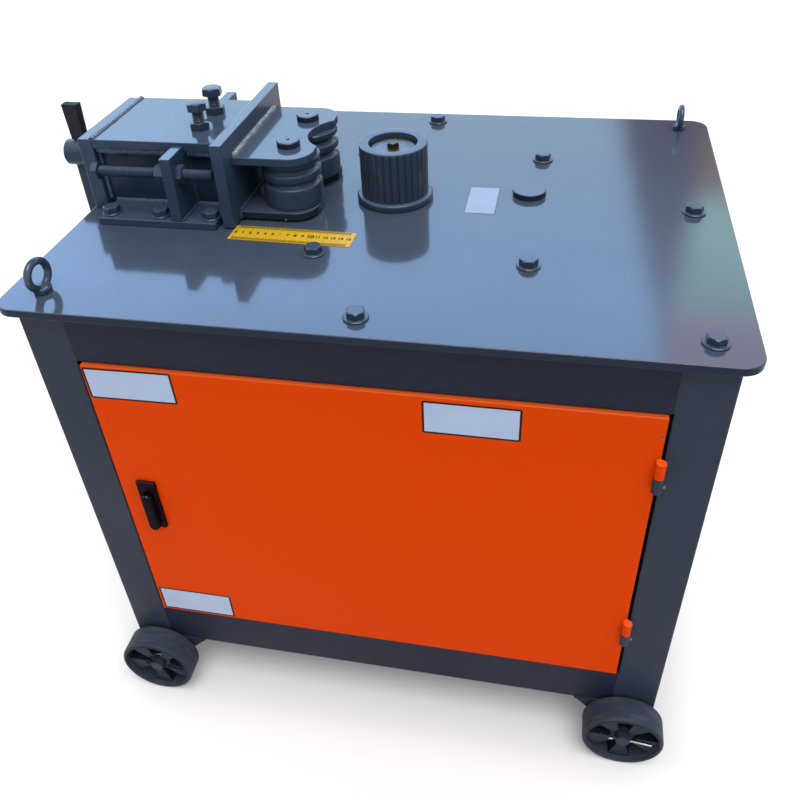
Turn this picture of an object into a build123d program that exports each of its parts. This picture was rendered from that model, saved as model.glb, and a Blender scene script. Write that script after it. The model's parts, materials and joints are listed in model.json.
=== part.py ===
from build123d import *
import math
import os

os.makedirs("parts", exist_ok=True)

# Rebar ring bending machine, in millimetres.
# While modelling, X and Y start at the middle of the table and Z at the table top.
# save() moves every piece so that the origin lies on the floor under the middle of the machine.

# Table
table_length = 840.0
table_depth = 640.0
table_thickness = 10.0
table_corner_radius = 25.0
table_height = 725.0
table_overhang = 20.0
side_overhang = 17.0

# Cabinet
post_width = 58.0
post_sheet = 3.0
panel_sheet = 2.0
top_rail_height = 72.0
bottom_rail_height = 76.0
rail_flange_width = 34.0
pad_thickness = 6.0

# Fasteners
bolt_radius = 6.0
bolt_clearance = 0.5
thread_gap = 0.05
bolt_flats = 19.5
bolt_head_height = 8.0
nut_height = 10.0
washer_radius = 12.5
table_washer_radius = 14.5
washer_thickness = 2.5
bolt_end_length = 3.0
edge_bolt_inset_x = 43.5
edge_bolt_inset_y = 37.0
front_bolt_x = 3.0
rear_bolt_x = 5.0
right_bolt_y = 4.5
corner_bolt_inset_x = 46.0
corner_bolt_inset_y = 39.5

# Lifting eyes
eye_ring_radius = 17.5
eye_wire_radius = 5.0
eye_bore_flat = 0.5
eye_foot_gap = 1.5
eye_collar_radius = 11.7
eye_collar_height = 8.0
front_eye_inset_x = 45.5
front_eye_inset_y = 43.0
front_eye_turn = 82.0
front_eye_scale = 0.94
rear_eye_turn = 90.0
rear_eye_scale = 0.8

# Ruler and shaft cap
ruler_length = 161.0
ruler_width = 36.0
ruler_thickness = 0.6
ruler_from_head = 79.5
ruler_from_press = 124.0
ruler_turn = -1.4
cap_radius = 22.2
cap_height = 8.0
cap_edge = 1.2
cap_spigot_radius = 15.0
cap_spigot_length = 8.0
cap_spigot_gap = 0.2

# Door, its hinges and its latch
door_gap = 2.0
door_latch_gap = 5.5
door_hinge_gap = 4.5
door_proud = 5.0
door_return = 5.0
door_sheet = 2.0
hinge_radius = 5.8
hinge_gap = 0.3
hinge_pin_radius = 3.0
hinge_half_length = 22.5
hinge_offset = 4.0
hinge_inset_top = 80.5
hinge_inset_bottom = 104.0
hinge_tab = 3.0
latch_inset = 39.5
latch_drop = 188.5
latch_plate_width = 27.0
latch_plate_height = 86.0
latch_plate_thickness = 5.0
latch_plate_corner = 2.0
latch_pivot_drop = 25.0
latch_lever_width = 15.0
latch_lever_length = 59.0
latch_lever_thickness = 9.0
latch_shaft_radius = 5.0
latch_gap = 0.3
cam_reach = 57.0
cam_width = 20.0
cam_thickness = 4.0
cam_clearance = 1.0

# Wheels and axles
wheel_radius = 57.0
wheel_width = 40.0
wheel_gap = 2.0
wheel_edge = 5.0
wheel_rim = 6.0
wheel_recess = 30.0
wheel_hub_radius = 17.0
wheel_hub_depth = 16.0
wheel_rib_depth = 8.0
wheel_rib_count = 5
wheel_rib_angle = 36.0
left_wheel_turn = 20.0
right_wheel_turn = 90.0
wheel_rib_gap = 1.0
wheel_end_gap = 0.4
axle_radius = 10.0
axle_inset = 41.0
axle_drop = 33.0
axle_end_depth = 1.5
axle_washer_radius = 17.5
axle_washer_thickness = 2.2
split_pin_radius = 1.6
split_pin_depth = 6.0
split_pin_leg = 32.0
split_pin_loop = 4.5
split_pin_turn = 8.0
bracket_thickness = 8.0
bracket_reach = 75.0
bracket_foot = 43.0
bracket_drop = 22.0
running_gap = 0.05
slide_gap = 0.4
seat_gap = 0.3

# Drive roller on its spindle
spindle_reach = 212.0
press_y = 10.0
roller_radius = 45.0
roller_height = 78.0
roller_floor_gap = 1.0
roller_flange_radius = 51.0
roller_flange_top = 10.0
roller_flange_edge = 3.0
flute_count = 30
flute_radius = 1.5
recess_radius = 32.0
recess_depth = 12.0
roller_washer_gap = 3.0
roller_washer_thickness = 5.0
roller_bolt_length = 32.0
roller_bolt_radius = 5.0
roller_bolt_flats = 15.0
roller_bolt_head = 7.0
spindle_seat_radius = 20.0
spindle_collar_radius = 30.0
spindle_hole_gap = 1.0
spindle_journal_radius = 27.5
spindle_foot_radius = 22.5

# Gear train under the table
gear_module = 4.0
gear_teeth = 72
pinion_teeth = 18
gear_width = 40.0
gear_room_above = 8.0
gear_room_below = 6.0
gear_backlash = 0.4
gear_dedendum = 1.25
gear_pressure_angle = 20.0
pinion_direction = 8.2
pinion_overlap = 2.0
pinion_shaft_radius = 14.0
pinion_journal_radius = 12.5
pinion_shaft_end = 36.0
pinion_hole_gap = 4.0
case_bolt_offset_x = 60.0
case_bolt_offset_y = -11.5
case_bolt_pitch_x = 260.0
case_bolt_pitch_y = 301.0
case_bolt_edge = 14.0
case_top = 14.0
case_wall = 10.0
case_room = 8.0
case_cover = 12.0
bearing_height = 20.0
bearing_boss_wall = 10.0
spindle_bearing_radius = 45.0
pinion_bearing_radius = 26.0
foot_bearing_radius = 40.0
foot_bearing_height = 18.0
foot_boss_height = 14.0
bearing_floor = 4.0

# Gear motor and switch box
gear_head_radius = 75.0
gear_head_height = 100.0
motor_radius = 74.0
motor_length = 290.0
motor_fin_count = 28
motor_fin_height = 9.0
motor_fin_width = 3.0
motor_fin_length = 190.0
rotor_radius = 30.0
rotor_gap = 1.0
rotor_length = 170.0
rotor_top = 40.0
rotor_shaft_radius = 10.0
rotor_shaft_grip = 15.0
fan_radius = 60.0
fan_height = 14.0
fan_room = 5.0
fan_cover_wall = 4.0
switch_box_width = 120.0
switch_box_height = 160.0
switch_box_depth = 70.0
switch_box_inset = 95.0
switch_box_drop = 190.0

# Press housing on the left of the table
housing_edge = 5.0
end_plate_thickness = 20.0
housing_length = 172.0
housing_width = 156.0
housing_height = 99.0
top_plate_thickness = 12.0
side_plate_setback = 12.0
side_plate_thickness = 16.0
flange_depth = 56.0
flange_thickness = 10.0
flange_start = 8.0
flange_bolt_from_edge = 16.0
flange_bolt_first = 13.0
flange_bolt_last = 11.0
flange_bolt_count = 3
stop_bracket_setback = 59.0
stop_bracket_thickness = 14.0
stop_bracket_drop = 4.0
stop_bolt_radius = 7.0
stop_bolt_flats = 21.0
stop_bolt_head = 9.0
stop_bolt_start = 9.5
stop_bolt_proud = 1.0
stop_bolt_from_edge = 18.0
stop_bolt_height = 68.5
stop_nut_height = 13.0
stop_jam_nut_height = 8.0
stop_washer_thickness = 3.0
jack_setback = 40.0
jack_spread = 28.0
jack_radius = 8.0
jack_flats = 24.0
jack_head_height = 10.0
jack_nut_height = 10.0
jack_free_length = 15.0
gib_thickness = 7.6
gib_end_gap = 2.0
gib_room = 4.0
gib_gap = 0.4

# Sliding head
head_gap = 8.0
head_plate_thickness = 15.0
head_plate_width = 232.0
head_plate_bottom = 2.0
head_plate_top = 112.5
ram_end_gap = 6.2
ram_floor_gap = 0.3
ram_bore_end = 10.0
roller_plate_length = 99.0
roller_plate_width = 179.0
roller_plate_thickness = 10.0
roller_plate_corner = 30.0
lower_plate_bottom = 3.0
upper_plate_top = 87.0
notch_radius = 52.6
notch_reach = 30.5
pin_x = 62.0
pin_spread = 45.0
pin_radius = 10.0
pin_head_radius = 15.0
pin_head_height = 8.0
pin_centre_hole = 2.0
pressure_roller_radius = 39.0
pressure_groove_depth = 6.0
pressure_top_rib = 8.1
pressure_groove_height = 9.0
pressure_rib_height = 9.5
pressure_groove_slope = 2.0

# Lead screw and handle
screw_height = 47.0
screw_radius = 12.0
screw_end_gap = 8.0
screw_collar_radius = 20.0
screw_collar_thickness = 6.5
hub_radius = 18.0
handle_reach = 63.0
handle_x = 41.0
arm_width = 32.0
arm_thickness = 8.0
arm_length = 165.0
arm_up = 65.0
arm_up_width = 17.0
grip_length = 50.0
grip_wall = 2.0
grip_flare = 1.5
grip_cover = 5.0

# Places worked out from the sizes above
half_length = table_length / 2
half_depth = table_depth / 2
cabinet_x = half_length - side_overhang
cabinet_y = half_depth - table_overhang
cabinet_top = -table_thickness
axle_x = cabinet_x - axle_inset
axle_z = wheel_radius - table_height
wheel_face = cabinet_y + wheel_gap + wheel_width
axle_half_length = wheel_face - axle_end_depth
cabinet_bottom = axle_z + axle_drop
opening_x = cabinet_x - post_width
opening_top = cabinet_top - top_rail_height
opening_bottom = cabinet_bottom + bottom_rail_height
bolt_hole_radius = bolt_radius + bolt_clearance
edge_bolt_x = half_length - edge_bolt_inset_x
edge_bolt_y = half_depth - edge_bolt_inset_y
corner_bolt_x = half_length - corner_bolt_inset_x
corner_bolt_y = half_depth - corner_bolt_inset_y
front_eye_x = half_length - front_eye_inset_x
front_eye_y = half_depth - front_eye_inset_y
eye_height = eye_ring_radius + eye_wire_radius + eye_foot_gap
eye_bore_radius = eye_ring_radius - eye_wire_radius + eye_bore_flat

door_left = -opening_x + door_latch_gap
door_right = opening_x - door_hinge_gap
door_top = opening_top - door_gap
door_bottom = opening_bottom + door_gap
door_front = -cabinet_y - door_proud
door_back = -cabinet_y + door_return
hinge_x = opening_x - hinge_offset
hinge_y = door_front - hinge_gap - hinge_radius
hinge_heights = [door_top - hinge_inset_top, door_bottom + hinge_inset_bottom]
latch_x = door_left + latch_inset
latch_plate_top = door_top - latch_drop
latch_z = latch_plate_top - latch_pivot_drop

housing_left = -half_length + housing_edge
housing_inner = housing_left + end_plate_thickness
housing_right = housing_inner + housing_length
side_outer = housing_width / 2 - side_plate_setback
side_inner = side_outer - side_plate_thickness
top_plate_bottom = housing_height - top_plate_thickness
flange_outer = side_outer + flange_depth
flange_left = housing_inner + flange_start
flange_bolt_left = flange_left + flange_bolt_first
flange_bolt_pitch = (housing_right - flange_bolt_last - flange_bolt_left) / (flange_bolt_count - 1)
head_left = housing_right + head_gap
head_right = head_left + head_plate_thickness
head_travel_back = head_gap - stop_bolt_proud
gib_bottom = top_plate_bottom - gib_room - gib_thickness
ram_top = gib_bottom - gib_gap
roller_pin_x = head_right + pin_x
lower_plate_top = lower_plate_bottom + roller_plate_thickness
upper_plate_bottom = upper_plate_top - roller_plate_thickness
collar_left = housing_inner + seat_gap
collar_right = collar_left + screw_collar_thickness
ram_left = collar_right + head_travel_back + ram_end_gap
ram_bore_right = head_left - ram_bore_end
hub_left = -half_length - handle_reach
hub_right = housing_left - seat_gap
arm_x = -half_length - handle_x

spindle_x = housing_right + spindle_reach
roller_washer_radius = recess_radius - roller_washer_gap
gear_pitch_radius = gear_module * gear_teeth / 2
pinion_pitch_radius = gear_module * pinion_teeth / 2
gear_outer_radius = gear_pitch_radius + gear_module
gear_centres = gear_pitch_radius + pinion_pitch_radius
pinion_x = spindle_x + gear_centres * math.cos(math.radians(pinion_direction))
pinion_y = press_y + gear_centres * math.sin(math.radians(pinion_direction))
case_bolt_x = spindle_x + case_bolt_offset_x
case_bolt_y = press_y + case_bolt_offset_y
case_roof = cabinet_top - case_top
gear_top = case_roof - bearing_height - gear_room_above
gear_bottom = gear_top - gear_width
case_floor = gear_bottom - gear_room_below - foot_boss_height
cover_bottom = case_floor - case_cover
gear_head_bottom = cover_bottom - gear_head_height
motor_bottom = gear_head_bottom - motor_length

# The handle hub is the only piece that stands out past the table's ends
shift_x = handle_reach / 2


def block(x0, x1, y0, y1, z0, z1):
    solid = Box(abs(x1 - x0), abs(y1 - y0), abs(z1 - z0))
    return Pos((x0 + x1) / 2, (y0 + y1) / 2, (z0 + z1) / 2) * solid


def rod_x(radius, x0, x1, y, z):
    return Pos((x0 + x1) / 2, y, z) * Rot(Y=90) * Cylinder(radius, x1 - x0)


def rod_y(radius, y0, y1, x, z):
    return Pos(x, (y0 + y1) / 2, z) * Rot(X=90) * Cylinder(radius, y1 - y0)


def rod_z(radius, z0, z1, x=0.0, y=0.0):
    return Pos(x, y, (z0 + z1) / 2) * Cylinder(radius, z1 - z0)


def ring_z(outer, inner, z0, z1, x=0.0, y=0.0):
    return rod_z(outer, z0, z1, x, y) - rod_z(inner, z0, z1, x, y)


def hexagon_z(flats, z0, z1, x=0.0, y=0.0):
    sketch = RegularPolygon(flats / 2, 6, major_radius=False)
    return Pos(x, y, z0) * extrude(sketch, z1 - z0)


def hexagon_x(flats, x0, x1, y, z):
    return Pos(x0, y, z) * Rot(Y=90) * hexagon_z(flats, 0.0, x1 - x0)


def save(name, *solids):
    shape = solids[0] if len(solids) == 1 else Compound(children=list(solids))
    export_step(shape.moved(Location((shift_x, 0.0, table_height))), f"parts/{name}.step")


def bolt(x, y, seat, end):
    shank = rod_z(bolt_radius - thread_gap, end, seat + washer_thickness, x, y)
    top = seat + washer_thickness
    return hexagon_z(bolt_flats, top, top + bolt_head_height, x, y) + shank


def bolt_washer(x, y, seat, radius):
    return ring_z(radius, bolt_hole_radius, seat, seat + washer_thickness, x, y)


def bolt_nut(x, y, top):
    nut = hexagon_z(bolt_flats, top - nut_height, top, x, y)
    return nut - rod_z(bolt_radius, top - nut_height, top, x, y)


# Where bolts go through the table
edge_bolts = [(front_bolt_x, -edge_bolt_y), (rear_bolt_x, edge_bolt_y), (edge_bolt_x, right_bolt_y),
              (corner_bolt_x, -corner_bolt_y), (-edge_bolt_x, edge_bolt_y)]
eye_places = [(-front_eye_x, -front_eye_y, front_eye_turn, front_eye_scale),
              (edge_bolt_x, edge_bolt_y, rear_eye_turn, rear_eye_scale)]
case_bolt_spread_x = case_bolt_pitch_x / 2
case_bolt_spread_y = case_bolt_pitch_y / 2
case_bolts = [(case_bolt_x + side * case_bolt_spread_x, case_bolt_y + end * case_bolt_spread_y)
              for side in (-1, 1) for end in (-1, 1)]
flange_bolts = [(flange_bolt_left + index * flange_bolt_pitch,
                 press_y + side * (flange_outer - flange_bolt_from_edge))
                for side in (-1, 1) for index in range(flange_bolt_count)]
pad_bottom = cabinet_top - pad_thickness
edge_bolt_end = pad_bottom - nut_height - bolt_end_length


def make_table():
    sketch = RectangleRounded(table_length, table_depth, table_corner_radius)
    plate = extrude(sketch, -table_thickness)
    for x, y in edge_bolts + case_bolts + flange_bolts + [place[:2] for place in eye_places]:
        plate -= rod_z(bolt_hole_radius, cabinet_top, 0.0, x, y)
    plate -= rod_z(spindle_collar_radius + spindle_hole_gap, cabinet_top, 0.0, spindle_x, press_y)
    plate -= rod_z(cap_spigot_radius + cap_spigot_gap, cabinet_top, 0.0, pinion_x, pinion_y)
    save("table_plate", plate)


def make_table_fittings():
    pieces = []
    for x, y in edge_bolts:
        pieces += [bolt(x, y, 0.0, edge_bolt_end), bolt_nut(x, y, pad_bottom)]
        pieces.append(bolt_washer(x, y, 0.0, table_washer_radius))
    for x, y in case_bolts:
        pieces += [bolt(x, y, 0.0, case_roof), bolt_washer(x, y, 0.0, table_washer_radius)]
    save("table_bolts", *pieces)

    eyes = []
    for x, y, turn, size in eye_places:
        middle = eye_height * size
        ring = Rot(X=90) * Torus(eye_ring_radius * size, eye_wire_radius * size)
        collar = rod_z(eye_collar_radius * size, -middle, eye_collar_height * size - middle)
        bore = rod_y(eye_bore_radius * size, -eye_collar_radius, eye_collar_radius, 0.0, 0.0)
        shank = rod_z(bolt_radius - thread_gap, edge_bolt_end - middle, -middle)
        eyes.append(Pos(x, y, middle) * Rot(Z=turn) * (ring + collar - bore + shank))
        eyes.append(bolt_nut(x, y, pad_bottom))
    save("eye_bolts", *eyes)

    strip = extrude(RectangleRounded(ruler_length, ruler_width, ruler_thickness), ruler_thickness)
    ruler_place = Pos(head_right + ruler_from_head, press_y - ruler_from_press, 0.0)
    save("ruler_strip", ruler_place * Rot(Z=ruler_turn) * strip)

    cap = rod_z(cap_radius, 0.0, cap_height)
    cap = fillet(cap.edges().group_by(Axis.Z)[-1], cap_edge)
    cap += rod_z(cap_spigot_radius, -cap_spigot_length, 0.0)
    save("shaft_cap", Pos(pinion_x, pinion_y, 0.0) * cap)


def make_post(side, end):
    face = block(side * cabinet_x, side * opening_x, end * cabinet_y, end * (cabinet_y - post_sheet),
                 cabinet_bottom, cabinet_top)
    cheek = block(side * cabinet_x, side * (cabinet_x - post_sheet), end * cabinet_y,
                  end * (cabinet_y - post_width), cabinet_bottom, cabinet_top)
    pad = block(side * cabinet_x, side * opening_x, end * cabinet_y, end * (cabinet_y - post_width),
                pad_bottom, cabinet_top)
    hole_x, hole_y = edge_bolt_x, edge_bolt_y
    if end < 0:
        hole_x = front_eye_x if side < 0 else corner_bolt_x
        hole_y = front_eye_y if side < 0 else corner_bolt_y
    pad -= rod_z(bolt_hole_radius, pad_bottom, cabinet_top, side * hole_x, end * hole_y)
    return face + cheek + pad


def make_cabinet():
    for side, side_name in ((-1, "left"), (1, "right")):
        for end, end_name in ((-1, "front"), (1, "rear")):
            save(f"{end_name}_{side_name}_post", make_post(side, end))

    rail_back = -cabinet_y + rail_flange_width
    rail_inside = -cabinet_y + post_sheet
    top_rail = block(-opening_x, opening_x, -cabinet_y, rail_inside, opening_top, cabinet_top)
    top_rail += block(-opening_x, opening_x, -cabinet_y, rail_back, pad_bottom, cabinet_top)
    top_rail += block(-opening_x, opening_x, -cabinet_y, rail_back,
                      opening_top, opening_top + post_sheet)
    top_rail -= rod_z(bolt_hole_radius, pad_bottom, cabinet_top, front_bolt_x, -edge_bolt_y)
    save("front_top_rail", top_rail)

    bottom_rail = block(-opening_x, opening_x, -cabinet_y, rail_inside,
                        cabinet_bottom, opening_bottom)
    bottom_rail += block(-opening_x, opening_x, -cabinet_y, rail_back,
                         opening_bottom - post_sheet, opening_bottom)
    save("front_bottom_rail", bottom_rail)

    panel_y = cabinet_y - post_width
    left_panel = block(-cabinet_x, panel_sheet - cabinet_x, -panel_y, panel_y,
                       cabinet_bottom, cabinet_top)
    save("left_side_panel", left_panel)
    right_panel = block(cabinet_x - panel_sheet, cabinet_x, -panel_y, panel_y,
                        cabinet_bottom, cabinet_top)
    right_panel += block(cabinet_x - rail_flange_width, cabinet_x, -panel_y, panel_y,
                         pad_bottom, cabinet_top)
    right_panel -= rod_z(bolt_hole_radius, pad_bottom, cabinet_top, edge_bolt_x, right_bolt_y)
    save("right_side_panel", right_panel)
    rear_panel = block(-opening_x, opening_x, cabinet_y - panel_sheet, cabinet_y,
                       cabinet_bottom, cabinet_top)
    rear_panel += block(-opening_x, opening_x, cabinet_y - rail_flange_width, cabinet_y,
                        pad_bottom, cabinet_top)
    rear_panel -= rod_z(bolt_hole_radius, pad_bottom, cabinet_top, rear_bolt_x, edge_bolt_y)
    save("rear_panel", rear_panel)

    pan_x = cabinet_x - post_sheet
    pan_y = cabinet_y - post_sheet
    pan_side = cabinet_x - panel_sheet
    pan_rear = cabinet_y - panel_sheet
    pan_top = cabinet_bottom + post_sheet
    pan = block(-pan_x, pan_x, -pan_y, pan_y, cabinet_bottom, pan_top)
    pan += block(-pan_side, pan_side, -panel_y, panel_y, cabinet_bottom, pan_top)
    pan += block(-opening_x, opening_x, -panel_y, pan_rear, cabinet_bottom, pan_top)
    save("floor_pan", pan)

    box_top = cabinet_top - switch_box_drop
    box_left = -opening_x + switch_box_inset
    box_back = cabinet_y - panel_sheet
    save("switch_box", block(box_left, box_left + switch_box_width, box_back - switch_box_depth, box_back,
                             box_top - switch_box_height, box_top))


def make_wheel(turn):
    # The outer face lies at z = 0 and the wheel reaches back along +Z
    body = rod_z(wheel_radius, 0.0, wheel_width)
    body = fillet(body.edges().filter_by(GeomType.CIRCLE), wheel_edge)
    body -= rod_z(wheel_radius - wheel_rim, 0.0, wheel_recess)
    body += rod_z(wheel_hub_radius, wheel_hub_depth, wheel_width + wheel_gap - wheel_end_gap)
    reach = wheel_radius - wheel_rim / 2
    spread = math.radians(wheel_rib_angle / 2)
    for index in range(wheel_rib_count):
        angle = math.radians(turn + index * 360.0 / wheel_rib_count)
        outer = [(reach * math.cos(angle + sign * spread), reach * math.sin(angle + sign * spread))
                 for sign in (-1, 1)]
        face = make_face(Polyline((0.0, 0.0), *outer, close=True))
        rib = extrude(face, wheel_recess - wheel_rib_depth)
        rib -= rod_z(axle_washer_radius + wheel_rib_gap, 0.0, wheel_hub_depth - wheel_rib_depth)
        body += Pos(0.0, 0.0, wheel_rib_depth) * rib
    return body - rod_z(axle_radius + running_gap, 0.0, wheel_width + wheel_gap)


def make_split_pin(outward):
    loop_x = -axle_radius - split_pin_loop - split_pin_radius
    loop = Pos(loop_x, 0.0, 0.0) * Rot(X=90) * Torus(split_pin_loop, split_pin_radius)
    leg = rod_x(split_pin_radius, loop_x + split_pin_loop, axle_radius + split_pin_leg, 0.0, 0.0)
    return Pos(0.0, outward, 0.0) * Rot(Y=split_pin_turn) * (loop + leg)


def make_running_gear():
    brackets = []
    axles = []
    retainers = []
    foot_z = axle_z - bracket_drop
    pin_y = wheel_face - split_pin_depth
    washer_y = wheel_face - wheel_hub_depth
    for side, side_name, rib_turn in ((-1, "left", left_wheel_turn), (1, "right", right_wheel_turn)):
        x = side * axle_x
        axle = rod_y(axle_radius, -axle_half_length, axle_half_length, x, axle_z)
        for end, end_name in ((-1, "front"), (1, "rear")):
            outline = [(side * cabinet_x, cabinet_bottom), (x - side * bracket_reach, cabinet_bottom),
                       (x - side * bracket_foot / 2, foot_z), (x + side * bracket_foot / 2, foot_z)]
            plate = extrude(Plane.XZ * make_face(Polyline(*outline, close=True)), -bracket_thickness)
            plate = Pos(0.0, -cabinet_y if end < 0 else cabinet_y - bracket_thickness, 0.0) * plate
            plate -= rod_y(axle_radius + thread_gap, -half_depth, half_depth, x, axle_z)
            brackets.append(plate)
            hole = rod_x(split_pin_radius + thread_gap, -axle_radius, axle_radius, 0.0, 0.0)
            axle -= Pos(x, end * pin_y, axle_z) * Rot(Y=split_pin_turn) * hole
            retainers.append(Pos(x, 0.0, axle_z) * make_split_pin(end * pin_y))
            washer = ring_z(axle_washer_radius, axle_radius + thread_gap, 0.0, axle_washer_thickness)
            near = end * (washer_y + wheel_end_gap)
            retainers.append(Pos(x, near, axle_z) * Rot(X=-90.0 * end) * washer)
            wheel = Rot(X=90.0 * end) * make_wheel(rib_turn)
            save(f"{end_name}_{side_name}_wheel", Pos(x, end * wheel_face, axle_z) * wheel)
        axles.append(axle)
    save("axle_brackets", *brackets)
    save("wheel_axles", *axles)
    save("axle_retainers", *retainers)


def make_door():
    pan = block(door_left, door_right, door_front, door_back, door_bottom, door_top)
    pan -= block(door_left + door_sheet, door_right - door_sheet, door_front + door_sheet, door_back,
                 door_bottom + door_sheet, door_top - door_sheet)
    pins = []
    tab_back = door_front + door_sheet
    for seam in hinge_heights:
        barrel = rod_z(hinge_radius, seam + hinge_gap, seam + hinge_half_length, hinge_x, hinge_y)
        tab = block(hinge_x - hinge_tab, hinge_x, hinge_y, tab_back,
                    seam + hinge_gap, seam + hinge_half_length)
        bore = rod_z(hinge_pin_radius + running_gap, seam, seam + hinge_half_length - hinge_tab,
                     hinge_x, hinge_y)
        pan = pan + barrel + tab - bore
        low = rod_z(hinge_radius, seam - hinge_half_length, seam, hinge_x, hinge_y)
        pin_top = seam + hinge_half_length - 2 * hinge_tab
        low += rod_z(hinge_pin_radius, seam, pin_top, hinge_x, hinge_y)
        low += block(opening_x, opening_x + hinge_tab, hinge_y, -cabinet_y,
                     seam - hinge_half_length, seam)
        pins.append(low)
    pan -= rod_y(latch_shaft_radius + latch_gap, door_front, door_front + door_sheet, latch_x, latch_z)
    save("door", pan)
    save("hinge_pins", *pins)


def make_latch():
    plate_front = door_front - latch_plate_thickness
    sketch = RectangleRounded(latch_plate_width, latch_plate_height, latch_plate_corner)
    plate = Rot(X=90) * extrude(sketch, latch_plate_thickness)
    plate = Pos(latch_x, door_front, latch_plate_top - latch_plate_height / 2) * plate
    plate -= rod_y(latch_shaft_radius + running_gap, plate_front, door_front, latch_x, latch_z)
    save("latch_plate", plate)

    lever_back = plate_front - latch_gap
    lever_front = lever_back - latch_lever_thickness
    half_width = latch_lever_width / 2
    cam_front = door_back + cam_clearance
    lever_foot = latch_z - latch_lever_length + half_width
    lever = block(latch_x - half_width, latch_x + half_width, lever_front, lever_back,
                  lever_foot, latch_z)
    lever += rod_y(half_width, lever_front, lever_back, latch_x, latch_z)
    lever += rod_y(half_width, lever_front, lever_back, latch_x, lever_foot)
    lever += rod_y(latch_shaft_radius, lever_back, cam_front + cam_thickness, latch_x, latch_z)
    save("latch_handle", lever)

    half_cam = cam_width / 2
    cam_back = cam_front + cam_thickness
    cam = block(latch_x - half_cam, latch_x + half_cam, cam_front, cam_back,
                latch_z - cam_reach, latch_z)
    cam += rod_y(half_cam, cam_front, cam_back, latch_x, latch_z)
    cam -= rod_y(latch_shaft_radius + thread_gap, cam_front, cam_back, latch_x, latch_z)
    save("latch_cam", cam)


def involute(angle):
    return math.tan(angle) - angle


def make_gear_face(teeth, phase):
    # Teeth have straight chords along the involute, so they stay inside the true flank
    pitch_radius = gear_module * teeth / 2
    pressure = math.radians(gear_pressure_angle)
    base_radius = pitch_radius * math.cos(pressure)
    tip_radius = pitch_radius + gear_module
    root_radius = pitch_radius - gear_dedendum * gear_module
    start_radius = max(base_radius, root_radius)
    half_pitch = math.pi / (2 * teeth) - gear_backlash / (4 * pitch_radius)
    half_base = half_pitch + involute(pressure)
    flank = [(root_radius, half_base - involute(math.acos(base_radius / start_radius)))]
    steps = 3
    for step in range(steps + 1):
        radius = start_radius + (tip_radius - start_radius) * step / steps
        flank.append((radius, half_base - involute(math.acos(base_radius / radius))))
    if start_radius == root_radius:
        flank.pop(0)
    points = []
    for tooth in range(teeth):
        middle = math.radians(phase) + tooth * 2 * math.pi / teeth
        for radius, half in flank:
            points.append((radius * math.cos(middle - half), radius * math.sin(middle - half)))
        for radius, half in reversed(flank):
            points.append((radius * math.cos(middle + half), radius * math.sin(middle + half)))
    return make_face(Polyline(*points, close=True))


def make_drive():
    recess_floor = roller_height - recess_depth
    outline = Circle(roller_radius)
    outline -= PolarLocations(roller_radius, flute_count) * Circle(flute_radius)
    body = Pos(0.0, 0.0, roller_flange_top) * extrude(outline, roller_height - roller_flange_top)
    flange = rod_z(roller_flange_radius, roller_floor_gap, roller_flange_top)
    body += fillet(flange.edges().filter_by(GeomType.CIRCLE), roller_flange_edge)
    body -= rod_z(recess_radius, recess_floor, roller_height)
    body -= rod_z(spindle_seat_radius + thread_gap, 0.0, recess_floor)
    save("drive_roller", Pos(spindle_x, press_y, 0.0) * body)

    washer_top = recess_floor + roller_washer_thickness
    washer = ring_z(roller_washer_radius, roller_bolt_radius + bolt_clearance, recess_floor, washer_top)
    save("roller_washer", Pos(spindle_x, press_y, 0.0) * washer)
    screw = hexagon_z(roller_bolt_flats, washer_top, washer_top + roller_bolt_head)
    screw += rod_z(roller_bolt_radius - thread_gap, washer_top - roller_bolt_length, washer_top)
    save("roller_bolt", Pos(spindle_x, press_y, 0.0) * screw)

    foot_top = case_floor + foot_boss_height
    foot_bottom = cover_bottom + bearing_floor + running_gap
    spindle = rod_z(spindle_seat_radius, roller_floor_gap, recess_floor - slide_gap)
    spindle += rod_z(spindle_collar_radius, case_roof + seat_gap, roller_floor_gap)
    spindle += rod_z(spindle_journal_radius - running_gap, foot_top, case_roof + seat_gap)
    spindle += rod_z(spindle_foot_radius - running_gap, foot_bottom, foot_top)
    spindle -= rod_z(roller_bolt_radius, washer_top - roller_bolt_length, recess_floor)
    save("drive_spindle", Pos(spindle_x, press_y, 0.0) * spindle)

    gear = extrude(make_gear_face(gear_teeth, pinion_direction), gear_width)
    gear = Pos(0.0, 0.0, gear_bottom) * gear
    gear -= rod_z(spindle_journal_radius, gear_bottom, gear_top)
    save("spindle_gear", Pos(spindle_x, press_y, 0.0) * gear)

    pinion_phase = pinion_direction + 180.0 + 180.0 / pinion_teeth
    pinion_low = gear_bottom - pinion_overlap
    pinion = extrude(make_gear_face(pinion_teeth, pinion_phase), gear_width + 2 * pinion_overlap)
    pinion = Pos(0.0, 0.0, pinion_low) * pinion
    pinion += rod_z(pinion_journal_radius - running_gap, gear_top, case_roof - slide_gap)
    pinion += rod_z(pinion_shaft_radius, cover_bottom - pinion_shaft_end, pinion_low)
    save("pinion_shaft", Pos(pinion_x, pinion_y, 0.0) * pinion)


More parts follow.
